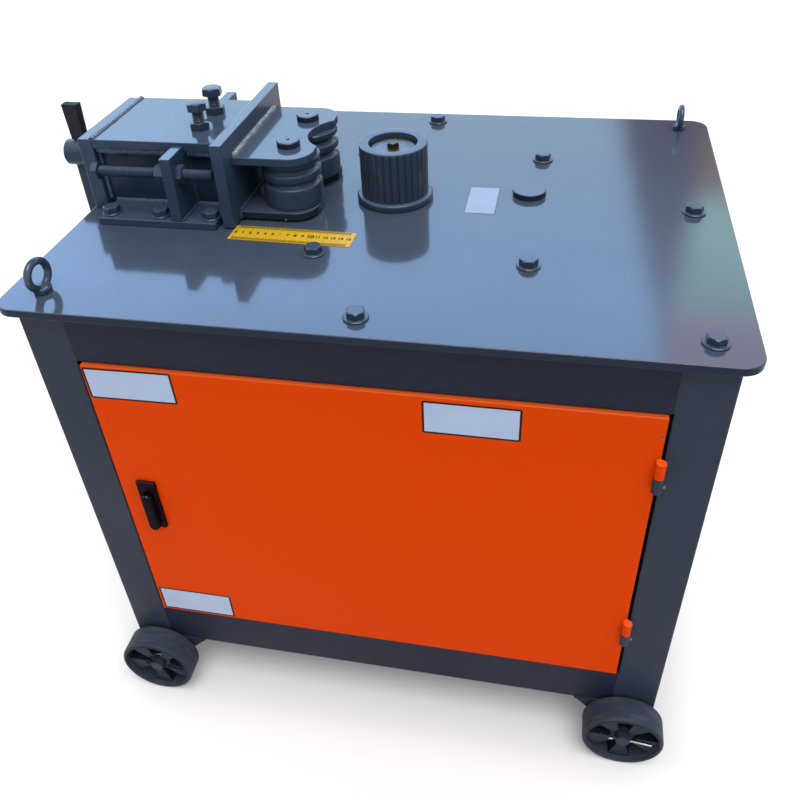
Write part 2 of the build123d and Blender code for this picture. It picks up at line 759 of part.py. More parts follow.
def make_gear_case():
    left = spindle_x - gear_outer_radius - case_room
    right = pinion_x + pinion_pitch_radius + gear_module + case_room
    front = press_y - gear_outer_radius - case_room
    rear = press_y + gear_outer_radius + case_room
    outer = block(left - case_wall, right + case_wall, front - case_wall, rear + case_wall,
                  case_floor, cabinet_top)
    case = outer - block(left, right, front, rear, case_floor, case_roof)
    reach_x = case_bolt_spread_x + case_bolt_edge
    reach_y = case_bolt_spread_y + case_bolt_edge
    case += block(case_bolt_x - reach_x, case_bolt_x + reach_x,
                  case_bolt_y - reach_y, case_bolt_y + reach_y, case_roof, cabinet_top)
    bearing_bottom = case_roof - bearing_height
    for x, y, radius in ((spindle_x, press_y, spindle_bearing_radius),
                         (pinion_x, pinion_y, pinion_bearing_radius)):
        case += ring_z(radius + bearing_boss_wall, radius + thread_gap, bearing_bottom, case_roof, x, y)
    collar_hole = spindle_collar_radius + spindle_hole_gap
    case -= rod_z(collar_hole, case_roof, cabinet_top, spindle_x, press_y)
    for x, y in case_bolts:
        case -= rod_z(bolt_radius, case_roof, cabinet_top, x, y)
    case -= rod_z(cap_spigot_radius + cap_spigot_gap, case_roof, cabinet_top, pinion_x, pinion_y)
    save("gear_case", case)

    cover = block(left - case_wall, right + case_wall, front - case_wall, rear + case_wall,
                  cover_bottom, case_floor)
    boss_top = case_floor + foot_boss_height
    cover += rod_z(foot_bearing_radius + bearing_boss_wall, case_floor, boss_top, spindle_x, press_y)
    foot_low = cover_bottom + bearing_floor
    foot_high = foot_low + foot_bearing_height
    cover -= rod_z(foot_bearing_radius + thread_gap, foot_low, boss_top, spindle_x, press_y)
    cover -= rod_z(pinion_shaft_radius + pinion_hole_gap, cover_bottom, case_floor, pinion_x, pinion_y)
    save("gear_case_cover", cover)

    save("bearings",
         ring_z(spindle_bearing_radius, spindle_journal_radius, bearing_bottom, case_roof,
                spindle_x, press_y),
         ring_z(pinion_bearing_radius, pinion_journal_radius, bearing_bottom, case_roof,
                pinion_x, pinion_y),
         ring_z(foot_bearing_radius, spindle_foot_radius, foot_low, foot_high, spindle_x, press_y))


def make_gear_motor():
    head = rod_z(gear_head_radius, gear_head_bottom, cover_bottom)
    socket_bottom = cover_bottom - pinion_shaft_end - slide_gap
    head -= rod_z(pinion_shaft_radius + running_gap, socket_bottom, cover_bottom)
    head -= rod_z(rotor_shaft_radius + running_gap, gear_head_bottom,
                  gear_head_bottom + rotor_shaft_grip + slide_gap)
    save("gear_head", Pos(pinion_x, pinion_y, 0.0) * head)

    rotor_high = gear_head_bottom - rotor_top
    rotor_low = rotor_high - rotor_length
    fan_low = motor_bottom + fan_cover_wall + fan_room
    fan_high = fan_low + fan_height
    shell = rod_z(motor_radius, motor_bottom, gear_head_bottom)
    fin_low = gear_head_bottom - rotor_top / 2 - motor_fin_length
    for index in range(motor_fin_count):
        fin = block(motor_radius / 2, motor_radius + motor_fin_height,
                    -motor_fin_width / 2, motor_fin_width / 2,
                    fin_low, fin_low + motor_fin_length)
        shell += Rot(Z=index * 360.0 / motor_fin_count) * fin
    shell -= rod_z(rotor_radius + rotor_gap, rotor_low - fan_room, rotor_high + fan_room)
    shell -= rod_z(rotor_shaft_radius + running_gap, fan_high, gear_head_bottom)
    shell -= rod_z(motor_radius - fan_cover_wall, motor_bottom + fan_cover_wall, fan_high + fan_room)
    save("motor_shell", Pos(pinion_x, pinion_y, 0.0) * shell)

    rotor = rod_z(rotor_radius, rotor_low, rotor_high)
    rotor += rod_z(rotor_shaft_radius, fan_low, gear_head_bottom + rotor_shaft_grip)
    rotor += rod_z(fan_radius, fan_low, fan_high)
    save("motor_rotor", Pos(pinion_x, pinion_y, 0.0) * rotor)


def make_housing():
    y0 = press_y - housing_width / 2
    y1 = press_y + housing_width / 2
    end_plate = block(housing_left, housing_inner, y0, y1, 0.0, housing_height)
    end_plate -= rod_x(screw_radius + running_gap, housing_left, housing_inner, press_y, screw_height)
    save("housing_end_plate", end_plate)

    jacks = [(housing_right - jack_setback, press_y + side * jack_spread) for side in (-1, 1)]
    top_plate = block(housing_inner, housing_right, y0, y1, top_plate_bottom, housing_height)
    jack_bolts = []
    jack_tip = gib_bottom + gib_thickness
    nut_top = housing_height + jack_nut_height
    head_low = nut_top + jack_free_length
    for x, y in jacks:
        top_plate -= rod_z(jack_radius, top_plate_bottom, housing_height, x, y)
        screw = rod_z(jack_radius - thread_gap, jack_tip, head_low, x, y)
        jack_bolts.append(screw + hexagon_z(jack_flats, head_low, head_low + jack_head_height, x, y))
        nut = hexagon_z(jack_flats, housing_height, nut_top, x, y)
        jack_bolts.append(nut - rod_z(jack_radius, housing_height, nut_top, x, y))
    save("housing_top_plate", top_plate)
    save("jack_bolts", *jack_bolts)

    gib_half = side_inner - slide_gap
    save("gib_strip", block(housing_inner + gib_end_gap, housing_right - gib_end_gap, press_y - gib_half,
                            press_y + gib_half, gib_bottom, gib_bottom + gib_thickness))

    side_plates = []
    flanges = []
    brackets = []
    stops = []
    bracket_left = housing_right - stop_bracket_setback
    bracket_right = bracket_left + stop_bracket_thickness
    bracket_top = housing_height - stop_bracket_drop
    stop_left = housing_inner + stop_bolt_start
    stop_right = housing_right + stop_bolt_proud
    for side in (-1, 1):
        inner_y = press_y + side * side_inner
        outer_y = press_y + side * side_outer
        edge_y = press_y + side * flange_outer
        side_plates.append(block(housing_inner, housing_right, inner_y, outer_y, 0.0, top_plate_bottom))
        flange = block(flange_left, housing_right, outer_y, edge_y, 0.0, flange_thickness)
        for x, y in flange_bolts:
            flange -= rod_z(bolt_hole_radius, 0.0, flange_thickness, x, y)
        flanges.append(flange)
        bolt_y = edge_y - side * stop_bolt_from_edge
        bracket = block(bracket_left, bracket_right, outer_y, edge_y, flange_thickness, bracket_top)
        bracket -= block(bracket_left, bracket_right, y0, y1, top_plate_bottom, housing_height)
        bracket -= rod_x(stop_bolt_radius, bracket_left, bracket_right, bolt_y, stop_bolt_height)
        brackets.append(bracket)
        head_end = stop_left + stop_bolt_head
        screw = hexagon_x(stop_bolt_flats, stop_left, head_end, bolt_y, stop_bolt_height)
        screw += rod_x(stop_bolt_radius - thread_gap, stop_left, stop_right, bolt_y, stop_bolt_height)
        stops.append(screw)
        washer_left = bracket_left - stop_washer_thickness
        collar = rod_x(stop_bolt_flats / 2, washer_left, bracket_left, bolt_y, stop_bolt_height)
        collar -= rod_x(stop_bolt_radius, washer_left, bracket_left, bolt_y, stop_bolt_height)
        stops.append(collar)
        for nut_left, length in ((washer_left - stop_nut_height, stop_nut_height),
                                 (bracket_right, stop_jam_nut_height)):
            nut_right = nut_left + length
            nut = hexagon_x(stop_bolt_flats, nut_left, nut_right, bolt_y, stop_bolt_height)
            nut -= rod_x(stop_bolt_radius, nut_left, nut_right, bolt_y, stop_bolt_height)
            stops.append(nut)
    save("side_plates", *side_plates)
    save("base_flanges", *flanges)
    save("stop_brackets", *brackets)
    save("stop_bolts", *stops)

    bolts = []
    for x, y in flange_bolts:
        bolts.append(bolt(x, y, flange_thickness, cabinet_top - nut_height - bolt_end_length))
        bolts.append(bolt_washer(x, y, flange_thickness, washer_radius))
        bolts.append(bolt_nut(x, y, cabinet_top))
    save("base_bolts", *bolts)


def make_pressure_roller():
    radius = pressure_roller_radius
    core = radius - pressure_groove_depth
    low = lower_plate_top + slide_gap
    high = upper_plate_bottom - slide_gap
    body_top = high - pressure_top_rib - pressure_rib_height - 2 * pressure_groove_height
    points = [(0.0, low), (radius, low), (radius, body_top)]
    z = body_top
    for repeat in range(2):
        points.append((core, z + pressure_groove_slope))
        points.append((core, z + pressure_groove_height - pressure_groove_slope))
        points.append((radius, z + pressure_groove_height))
        z += pressure_groove_height + pressure_rib_height
        points.append((radius, z if repeat == 0 else high))
    points.append((0.0, high))
    roller = revolve(Plane.XZ * make_face(Polyline(*points, close=True)), Axis.Z)
    return roller - rod_z(pin_radius + running_gap, low, high)


def make_head():
    plate = block(head_left, head_right, press_y - head_plate_width / 2, press_y + head_plate_width / 2,
                  head_plate_bottom, head_plate_top)
    save("head_plate", plate)

    half_width = side_inner - slide_gap
    ram = block(ram_left, head_left, press_y - half_width, press_y + half_width, ram_floor_gap, ram_top)
    ram -= rod_x(screw_radius + running_gap, ram_left, ram_bore_right, press_y, screw_height)
    save("ram_block", ram)

    right = head_right + roller_plate_length
    sketch = Rectangle(roller_plate_length, roller_plate_width)
    sketch = Pos((head_right + right) / 2, press_y) * sketch
    sketch = fillet(sketch.vertices().group_by(Axis.X)[-1], roller_plate_corner)
    sketch -= Pos(right + notch_reach, press_y) * Circle(notch_radius)
    for side in (-1, 1):
        sketch -= Pos(roller_pin_x, press_y + side * pin_spread) * Circle(pin_radius + thread_gap)
    for name, bottom in (("lower_roller_plate", lower_plate_bottom),
                         ("upper_roller_plate", upper_plate_bottom)):
        save(name, Pos(0.0, 0.0, bottom) * extrude(sketch, roller_plate_thickness))

    pins = []
    for side, name in ((-1, "front_pressure_roller"), (1, "rear_pressure_roller")):
        place = Pos(roller_pin_x, press_y + side * pin_spread, 0.0)
        pin_top = upper_plate_top + pin_head_height
        pin = rod_z(pin_radius, lower_plate_bottom, upper_plate_top)
        pin += rod_z(pin_head_radius, upper_plate_top, pin_top)
        pin -= rod_z(pin_centre_hole, pin_top - 2 * pin_centre_hole, pin_top)
        pins.append(place * pin)
        save(name, place * make_pressure_roller())
    save("roller_pins", *pins)


def make_handle():
    arm_left = arm_x - arm_width / 2
    arm_right = arm_x + arm_width / 2
    screw_left = arm_right + seat_gap
    screw_right = ram_bore_right - head_travel_back - screw_end_gap
    screw = rod_x(screw_radius, screw_left, screw_right, press_y, screw_height)
    screw += rod_x(screw_collar_radius, collar_left, collar_right, press_y, screw_height)
    save("lead_screw", screw)

    half = arm_thickness / 2
    hub = rod_x(hub_radius, hub_left, hub_right, press_y, screw_height)
    hub -= rod_x(screw_radius + thread_gap, screw_left, hub_right, press_y, screw_height)
    arm_low = screw_height - arm_length
    arm_high = screw_height + arm_up
    handle = hub + block(arm_left, arm_right, press_y - half, press_y + half, arm_low, screw_height)
    handle += block(arm_x - arm_up_width / 2, arm_x + arm_up_width / 2, press_y - half, press_y + half,
                    screw_height, arm_high)
    save("screw_handle", handle)

    grips = []
    for width, inner_end, direction in ((arm_up_width, arm_high, 1), (arm_width, arm_low, -1)):
        far = inner_end + direction * grip_cover
        near = far - direction * grip_length
        grip_width = width + 2 * grip_wall
        grip_depth = arm_thickness + 2 * grip_wall
        near_face = RectangleRounded(grip_width, grip_depth, grip_wall)
        far_face = RectangleRounded(grip_width + 2 * grip_flare, grip_depth + grip_flare, grip_wall)
        sleeve = loft([Pos(0.0, 0.0, near) * near_face, Pos(0.0, 0.0, far) * far_face])
        sleeve = Pos(arm_x, press_y, 0.0) * sleeve
        bar = block(arm_x - width / 2, arm_x + width / 2, press_y - half, press_y + half,
                    near, inner_end)
        grips.append(sleeve - bar)
    save("handle_grips", *grips)


make_table()
make_table_fittings()
make_cabinet()
make_running_gear()
make_door()
make_latch()
make_drive()
make_gear_case()
make_gear_motor()
make_housing()
make_head()
make_handle()

print("spindle axis", spindle_x + shift_x, press_y)
print("pinion axis", round(pinion_x + shift_x, 3), round(pinion_y, 3))
print("pressure rollers", roller_pin_x + shift_x, press_y - pin_spread, press_y + pin_spread)
print("screw axis height", screw_height + table_height, "travel back", head_travel_back)
print("hinge axis", hinge_x + shift_x, hinge_y)
print("latch axis", latch_x + shift_x, latch_z + table_height)
print("axles", shift_x - axle_x, shift_x + axle_x, axle_z + table_height)
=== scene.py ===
import bpy
import bmesh
import json
import math
from functools import partial
from mathutils import Matrix, Vector


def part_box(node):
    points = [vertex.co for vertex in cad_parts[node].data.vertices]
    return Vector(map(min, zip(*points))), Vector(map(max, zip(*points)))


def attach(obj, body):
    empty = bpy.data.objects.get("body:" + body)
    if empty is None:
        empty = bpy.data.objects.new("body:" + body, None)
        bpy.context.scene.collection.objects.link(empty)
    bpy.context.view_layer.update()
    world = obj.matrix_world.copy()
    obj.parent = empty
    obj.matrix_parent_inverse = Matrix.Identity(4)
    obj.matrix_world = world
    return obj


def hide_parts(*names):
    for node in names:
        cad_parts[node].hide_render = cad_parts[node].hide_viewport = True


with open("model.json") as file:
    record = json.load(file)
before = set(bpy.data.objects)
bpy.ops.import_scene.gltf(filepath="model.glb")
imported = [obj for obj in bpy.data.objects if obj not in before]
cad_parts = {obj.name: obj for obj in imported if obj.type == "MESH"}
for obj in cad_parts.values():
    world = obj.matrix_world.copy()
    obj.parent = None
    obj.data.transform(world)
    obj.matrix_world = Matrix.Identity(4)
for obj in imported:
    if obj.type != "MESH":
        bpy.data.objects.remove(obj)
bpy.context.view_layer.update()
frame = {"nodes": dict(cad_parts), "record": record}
nodes = frame["nodes"]
bodyOf = {node: body for body, members in frame["record"]["behaviour"]["bodies"].items()
          for node in members}
print("frame loaded:", len(nodes), "nodes")

# sizes are in millimetres, x and y from the middle of the table and z from its top face
tableLow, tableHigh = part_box("table_plate")
origin = Vector(((tableLow.x + tableHigh.x) / 2, (tableLow.y + tableHigh.y) / 2, tableHigh.z))
pressY = 10  # middle line of the press and the drive roller
faceFront = Matrix.Rotation(math.radians(90), 4, "X")


def at(x, y, z):
    return origin + Vector((x, y, z)) / 1000


def inMetres(sizes):
    return {key: value / 1000 for key, value in sizes.items()}


def tint(code):
    parts = [int(code[i:i + 2], 16) / 255 for i in (1, 3, 5)]
    return [p / 12.92 if p <= 0.04045 else ((p + 0.055) / 1.055) ** 2.4 for p in parts] + [1.0]


# node kinds that come up often
vectors, mapRange, mixer = "ShaderNodeVectorMath", "ShaderNodeMapRange", "ShaderNodeMix"
splitXyz, joinXyz, clamp = "ShaderNodeSeparateXYZ", "ShaderNodeCombineXYZ", "ShaderNodeClamp"
noise, coords = "ShaderNodeTexNoise", "ShaderNodeTexCoord"
position, movePoints = "GeometryNodeInputPosition", "GeometryNodeSetPosition"
cylinder, onPoints = "GeometryNodeMeshCylinder", "GeometryNodeInstanceOnPoints"
namedValue = "GeometryNodeInputNamedAttribute"


def addNode(tree, kind, inputs=(), pick=0, **settings):
    # inputs in order, or keyed by number or name; gives back the picked output, or the node if pick is None
    if kind.isupper():  # the bare name of an operation stands for a math node
        kind, settings = "ShaderNodeMath", {"operation": kind}
    node = tree.nodes.new(kind)
    for key, value in settings.items():
        setattr(node, key, value)
    for key, value in inputs.items() if isinstance(inputs, dict) else enumerate(inputs):
        if isinstance(value, bpy.types.NodeSocket):
            tree.links.new(value, node.inputs[key])
        else:
            node.inputs[key].default_value = value
    return node if pick is None else node.outputs[pick]


plainSockets = {"metallic": "Metallic", "specular": "Specular IOR Level", "coat": "Coat Weight",
                "coatRough": "Coat Roughness"}


def makeFinish(name, **look):
    # blotch and grain are pattern sizes in mm and depth the grain's height; dust is colour, size and share
    material = bpy.data.materials.new(name)
    material.use_nodes = True
    tree = material.node_tree
    put = partial(addNode, tree)
    shader = tree.nodes["Principled BSDF"]
    spot = put(coords, pick="Object")
    blotch = put(noise, {"Vector": spot, "Scale": 1000 / look["blotch"], "Detail": 3.0})
    tone = put(mapRange, (blotch, 0.3, 0.7))
    paint = put(mixer, {0: tone, 6: tint(look["base"]), 7: tint(look["shade"])}, pick=2, data_type="RGBA")
    stretched = put("ShaderNodeMapping", {"Vector": spot, "Scale": look.get("stretch", (1, 1, 1))})
    if "dust" in look:  # pale specks and smears that lie on the surface
        pale, size, most = look["dust"]
        specks = put(noise, {"Vector": stretched, "Scale": 1000 / size, "Detail": 7.0, "Roughness": 0.65})
        share = put(mapRange, {0: specks, 1: 0.5, 2: 0.8, 4: most})
        paint = put(mixer, {0: share, 6: paint, 7: tint(pale)}, pick=2, data_type="RGBA")
    if "upright" in look:
        # upright faces take a painted shade in their base colour, in place of the paint and its dust, and a
        # thinner coat than the glossy level faces
        uprightPaintedShade, dull = look["upright"]
        upwards = put(splitXyz, (put("ShaderNodeNewGeometry", pick="Normal"),), pick=2)
        level = put(mapRange, (upwards, 0.3, 0.9))
        paint = put(mixer, {0: level, 6: tint(uprightPaintedShade), 7: paint}, pick=2, data_type="RGBA")
        tree.links.new(put(mapRange, {0: level, 3: dull, 4: look["coat"]}), shader.inputs["Coat Weight"])
    tree.links.new(paint, shader.inputs["Base Color"])
    grain = put(noise, {"Vector": stretched, "Scale": 1000 / look["grain"], "Detail": 2.0})
    low, high = look["roughness"]
    tree.links.new(put(mapRange, (blotch, 0.3, 0.7, low, high)), shader.inputs["Roughness"])
    bump = put("ShaderNodeBump", {"Height": grain, "Distance": look["depth"] / 1000})
    tree.links.new(bump, shader.inputs["Normal"])
    for key, socket in plainSockets.items():
        if key in look:
            shader.inputs[socket].default_value = look[key]
    return material


# sprayed gloss enamel on steel plate: dark slate body under a clear skin that mirrors what is behind it;
# its upright faces, such as the table's edges, take a much darker painted shade
enamel = dict(base="#455264", shade="#414e60", blotch=90, grain=7, depth=0.006, dust=("#8496ad", 5, 0.05),
              roughness=(0.16, 0.24), upright=("#202b3b", 0.1), coat=0.95, coatRough=0.08, specular=0.06)
slateEnamel = makeFinish("slate_gloss_enamel", **enamel)
# the press is bluer than the table; its upright faces take a paler painted shade than the table's, and the
# side plates under its overhang a darker painted shade
bluer = dict(enamel, base="#46576c", shade="#425267")
pressEnamel = makeFinish("slate_gloss_enamel_press", **dict(bluer, upright=("#34455c", 0.15)))
wallEnamel = makeFinish("slate_gloss_enamel_walls", **dict(bluer, upright=("#263548", 0.1)))
# the same enamel on castings and bolts, brushed on thicker, so less even; upright faces take a darker
# painted shade
slateBrushed = makeFinish(
    "slate_brushed_enamel", base="#43556b", shade="#3a4a5f", blotch=14, grain=3, depth=0.03,
    dust=("#7387a0", 2.5, 0.1), roughness=(0.24, 0.36), upright=("#2f3e52", 0.1), coat=0.7, coatRough=0.08,
    specular=0.1)
# the drive roller, dipped rather than brushed: one even skin; its upright barrel and flutes take a darker
# painted shade
rollerEnamel = makeFinish(
    "slate_dipped_enamel", base="#4a5e76", shade="#44566d", blotch=14, grain=3, depth=0.015,
    dust=("#5e7087", 2.5, 0.08), roughness=(0.3, 0.42), upright=("#2d394c", 0.55), coat=0.55,
    coatRough=0.07, specular=0.1)
# baked powder coat on the cabinet's folded sheet: satin, with a fine orange peel
powder = dict(base="#2f3746", shade="#2b3342", blotch=160, grain=2.2, depth=0.02, dust=("#66707f", 9, 0.05),
              roughness=(0.42, 0.52), specular=0.12)
slatePowder = makeFinish("slate_powder_coat", **powder)
# the rails between the posts: the same coat, darker
railPowder = makeFinish("slate_powder_coat_rails", **dict(powder, base="#212536", shade="#1e2232"))
# baked powder coat on the door: saturated orange, satin, fine orange peel; level faces such as the door's
# top edge are a lighter orange, painted light
orangePowder = makeFinish(
    "orange_powder_coat", base="#f8682c", shade="#f26328", blotch=220, grain=2.0, depth=0.016,
    dust=("#e2632e", 12, 0.02), roughness=(0.36, 0.46), upright=("#dd4300", 0.0), coat=0.25, coatRough=0.2,
    specular=0.03)
# the lifting eyes: forged, plated thin and blued dark, with hard highlights
bluedZinc = makeFinish("blued_zinc_forging", base="#4c5c72", shade="#3b495d", blotch=9, grain=1.2,
                       depth=0.02, roughness=(0.16, 0.26), metallic=0.55, specular=0.3)
# bright drawn wire and turned washers: clean pale metal
brightSteel = makeFinish("bright_zinc_steel", base="#b3bcc4", shade="#98a3ad", blotch=12, grain=0.8,
                         depth=0.006, roughness=(0.22, 0.34), metallic=1.0)
# yellow passivated bolt: olive brass cast over zinc
passivatedSteel = makeFinish("yellow_passivated_steel", base="#615d4b", shade="#403d33", blotch=6,
                             grain=0.9, depth=0.02, roughness=(0.28, 0.42), metallic=1.0)
# ground and turned machine steel: tool lines in one direction, a film of oil
machinedSteel = makeFinish("ground_machine_steel", base="#9aa0a6", shade="#858b92", blotch=25, grain=1.0,
                           depth=0.012, stretch=(1, 1, 12), roughness=(0.22, 0.36), metallic=1.0)
# grey iron casting in primer: sandy skin, flat
castIron = makeFinish("primed_cast_iron", base="#545b61", shade="#474d53", blotch=30, grain=1.6, depth=0.12,
                      roughness=(0.55, 0.7), specular=0.35)
# motor enamel on ribbed aluminium: grey blue, half gloss
motorEnamel = makeFinish("motor_blue_enamel", base="#4f6e8c", shade="#46637f", blotch=40, grain=2.4,
                         depth=0.04, roughness=(0.3, 0.42), specular=0.45)
# moulded glass filled nylon: near black with a fine spark pattern; upright faces a touch paler than level
# ones, painted light and shade by facing
blackNylon = makeFinish("black_moulded_nylon", base="#100b10", shade="#151015", blotch=20, grain=0.9,
                        depth=0.02, roughness=(0.2, 0.28), upright=("#190f15", 0.0), coat=0.8,
                        coatRough=0.1, specular=0.02)
# dipped pvc sleeve: soft black, skin slightly uneven
gripVinyl = makeFinish("black_dipped_vinyl", base="#20232a", shade="#1b1e24", blotch=12, grain=2.5,
                       depth=0.06, dust=("#474b54", 3, 0.15), roughness=(0.5, 0.62), specular=0.15)
# moulded solid rubber: grey from dust, scuffed round the tread
wheelRubber = makeFinish("grey_solid_rubber", base="#373f4e", shade="#303745", blotch=24, grain=1.5,
                         depth=0.06, stretch=(0.16, 1, 0.16), dust=("#77757a", 5, 0.32),
                         roughness=(0.55, 0.7), specular=0.15)
# moulded polypropylene wheel centre: darker than the tread, with flow marks
wheelCentre = makeFinish("dark_moulded_polypropylene", base="#232d3c", shade="#1e2735", blotch=15, grain=2,
                         depth=0.04, dust=("#46515f", 4, 0.15), roughness=(0.4, 0.55), specular=0.12)
# the same plastic deep inside the wheel, darker: a painted shade for the recess
wheelWellShade = makeFinish("wheel_well_painted_shade", base="#1b212b", shade="#161b24", blotch=15, grain=2,
                       depth=0.04, roughness=(0.5, 0.6), specular=0.05)
# turned washer, dulled by handling
dullSteel = makeFinish("dull_turned_steel", base="#808181", shade="#6d6f72", blotch=16, grain=0.8,
                       depth=0.006, roughness=(0.34, 0.46), metallic=1.0)
# lacquered steel rule: warm yellow, half gloss
rulerYellow = makeFinish("yellow_lacquered_steel", base="#dfb52d", shade="#d8ad28", blotch=18, grain=3,
                         depth=0.008, dust=("#e2c46a", 6, 0.2), roughness=(0.3, 0.4), specular=0.15)
# screen print ink: black, dull
printInk = makeFinish("black_print_ink", base="#17120d", shade="#1f1912", blotch=8, grain=1, depth=0.004,
                      roughness=(0.5, 0.6), specular=0.1)
# vinyl film: white, faintly blue, semi gloss, slightly wavy where it was pressed on
# the darker copy is a painted shade for the plate on the table, where level faces take more light; the
# setting mark uses it too
film = dict(base="#adbed9", shade="#a6b8d5", blotch=30, grain=14, depth=0.02, roughness=(0.3, 0.4),
            specular=0.4)
whiteVinyl = makeFinish("white_vinyl_film", **film)
shadedVinyl = makeFinish("vinyl_film_painted_shade", **dict(film, base="#98a8c6", shade="#92a2c0"))
# weld metal under one thin coat, paler than the plate: partly its own tone, partly a painted highlight for
# the light it catches; pale specks on its ripples
weldHighlight = makeFinish("weld_with_painted_highlight", base="#5b6d83", shade="#42526a", blotch=6, grain=1.1,
                      depth=0.06, dust=("#a3b2c3", 3, 0.6), roughness=(0.35, 0.5), specular=0.3)
# weld metal left bare: silver and bronze ripples
weldMetal = makeFinish("bare_weld_metal", base="#8b939c", shade="#4d5866", blotch=5, grain=1.1, depth=0.08,
                       dust=("#eceff2", 3, 0.9), roughness=(0.3, 0.5), metallic=0.3)
# moulded abs of the switch box and its buttons: fine spark texture, the buttons glossier
greyAbs = makeFinish("grey_moulded_abs", base="#b6babd", shade="#aeb3b6", blotch=35, grain=0.8, depth=0.015,
                     roughness=(0.38, 0.48), specular=0.4)
button = dict(blotch=12, grain=0.8, depth=0.01, roughness=(0.28, 0.36))
redAbs = makeFinish("red_moulded_abs", base="#b3261e", shade="#a8221b", **button)
greenAbs = makeFinish("green_moulded_abs", base="#2f8a4a", shade="#2a8044", **button)
print("materials made:", len(bpy.data.materials))


def addObject(name, data):
    made = bpy.data.objects.new(name, data)
    bpy.context.scene.collection.objects.link(made)
    return made


def toMesh(shape, name):
    mesh = bpy.data.meshes.new(name)
    shape.to_mesh(mesh)
    shape.free()
    return mesh


def smoothMesh(mesh, sharp):
    mesh.polygons.foreach_set("use_smooth", [True] * len(mesh.polygons))
    mesh.set_sharp_from_angle(angle=math.radians(sharp))


def addPiece(name, mesh, materials, body, stands=(), sharp=32):
    piece = addObject(name, mesh)
    mesh.name = name
    if mesh.materials:  # clearing also resets which face has which material
        mesh.materials.clear()
    for material in materials if isinstance(materials, list) else [materials]:
        mesh.materials.append(material)
    if sharp:
        smoothMesh(mesh, sharp)
    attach(piece, body)
    if stands:
        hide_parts(*stands)
    return piece


def bakeModifiers(piece):
    graph = bpy.context.evaluated_depsgraph_get()
    final = piece.evaluated_get(graph)
    mesh = bpy.data.meshes.new_from_object(final, preserve_all_data_layers=True, depsgraph=graph)
    piece.modifiers.clear()
    bpy.data.objects.remove(piece)
    return mesh


def joinMeshes(meshes):
    whole = bmesh.new()
    for mesh in meshes:
        whole.from_mesh(mesh)
    return toMesh(whole, "joined")


def roundEdges(mesh, width, segments=3, fold=28, softer=None):
    # loose triangles become whole faces, then every edge sharper than fold is rounded by its own width
    shape = bmesh.new()
    shape.from_mesh(mesh)
    bmesh.ops.remove_doubles(shape, verts=shape.verts, dist=0.000004)
    bmesh.ops.dissolve_limit(shape, angle_limit=math.radians(0.3), verts=shape.verts, edges=shape.edges)
    weights = shape.edges.layers.float.new("bevel_weight_edge")
    widths = {}
    for edge in shape.edges:
        if len(edge.link_faces) == 2 and edge.calc_face_angle(0.0) > math.radians(fold):
            start, end = (vertex.co for vertex in edge.verts)
            own = softer(((start + end) / 2 - origin) * 1000, end - start) if softer else None
            widths[edge] = width if own is None else own
    widest = max([width, *widths.values()])
    for edge, own in widths.items():
        edge[weights] = own / widest
    rounded = toMesh(shape, "rounded")
    smoothMesh(rounded, fold)
    piece = addObject("carrier", rounded)
    bevel = piece.modifiers.new("edges", "BEVEL")
    bevel.limit_method = "WEIGHT"
    bevel.width = widest / 1000
    bevel.segments = segments
    bevel.use_clamp_overlap = False
    normals = piece.modifiers.new("normals", "WEIGHTED_NORMAL")
    normals.keep_sharp = True
    return bakeModifiers(piece)


def dress(node, material, slot, width, **rounding):
    mesh = roundEdges(nodes[node].data.copy(), width, **rounding)
    return addPiece(node + "_dressed", mesh, material, bodyOf[node], [node], sharp=0)


def turned(profile, place, steps=96, closed=True):
    # a profile of (radius, height) pairs spun about the upright line through place
    shape = bmesh.new()
    angles = [2 * math.pi * step / steps for step in range(steps)]
    arms = [Vector((math.cos(angle), math.sin(angle))) for angle in angles]
    rings = [[shape.verts.new(place + Vector((radius * arm.x, radius * arm.y, height)) / 1000)
              for arm in arms]
             for radius, height in profile]
    for lower, upper in zip(rings, rings[1:] + rings[:1] if closed else rings[1:]):
        for step in range(steps):
            after = (step + 1) % steps
            shape.faces.new((lower[step], lower[after], upper[after], upper[step]))
    bmesh.ops.remove_doubles(shape, verts=shape.verts, dist=0.000002)
    bmesh.ops.recalc_face_normals(shape, faces=shape.faces)
    return toMesh(shape, "turned")


def block(middle, sizes):
    shape = bmesh.new()
    bmesh.ops.create_cube(shape, size=1.0)
    scale = Matrix.Diagonal([size / 1000 for size in sizes] + [1])
    bmesh.ops.transform(shape, verts=shape.verts, matrix=Matrix.Translation(middle) @ scale)
    return toMesh(shape, "block")


def pathMesh(paths):
    # a path of one place is a single point
    points, edges = [], []
    for path in paths:
        edges += [(i, i + 1) for i in range(len(points), len(points) + len(path) - 1)]
        points += [tuple(place) for place in path]
    mesh = bpy.data.meshes.new("paths")
    mesh.from_pydata(points, edges, [])
    return mesh


def newTree(name, sizes):
    tree = bpy.data.node_groups.new(name, "GeometryNodeTree")
    kinds = {"seed": "Int", "count": "Int", "middle": "Vector", "finish": "Material",
             "Geometry": "Geometry"}
    for size in ["Geometry", *sizes, "finish"]:
        tree.interface.new_socket(name=size, in_out="INPUT",
                                  socket_type="NodeSocket" + kinds.get(size, "Float"))
    tree.interface.new_socket(name="Geometry", in_out="OUTPUT", socket_type="NodeSocketGeometry")
    given = tree.nodes.new("NodeGroupInput").outputs
    return tree, partial(addNode, tree), given


def endTree(put, shape, finish):
    real = put("GeometryNodeRealizeInstances", (shape,))
    coated = put("GeometryNodeSetMaterial", {"Geometry": real, "Material": finish})
    put("NodeGroupOutput", (coated,), pick=None)


def grow(tree, sizes, base):
    piece = addObject("carrier", base)
    modifier = piece.modifiers.new("shape", "NODES")
    modifier.node_group = tree
    for item in tree.interface.items_tree:
        if item.in_out == "INPUT" and item.name in sizes:
            modifier[item.identifier] = sizes[item.name]
    return bakeModifiers(piece)


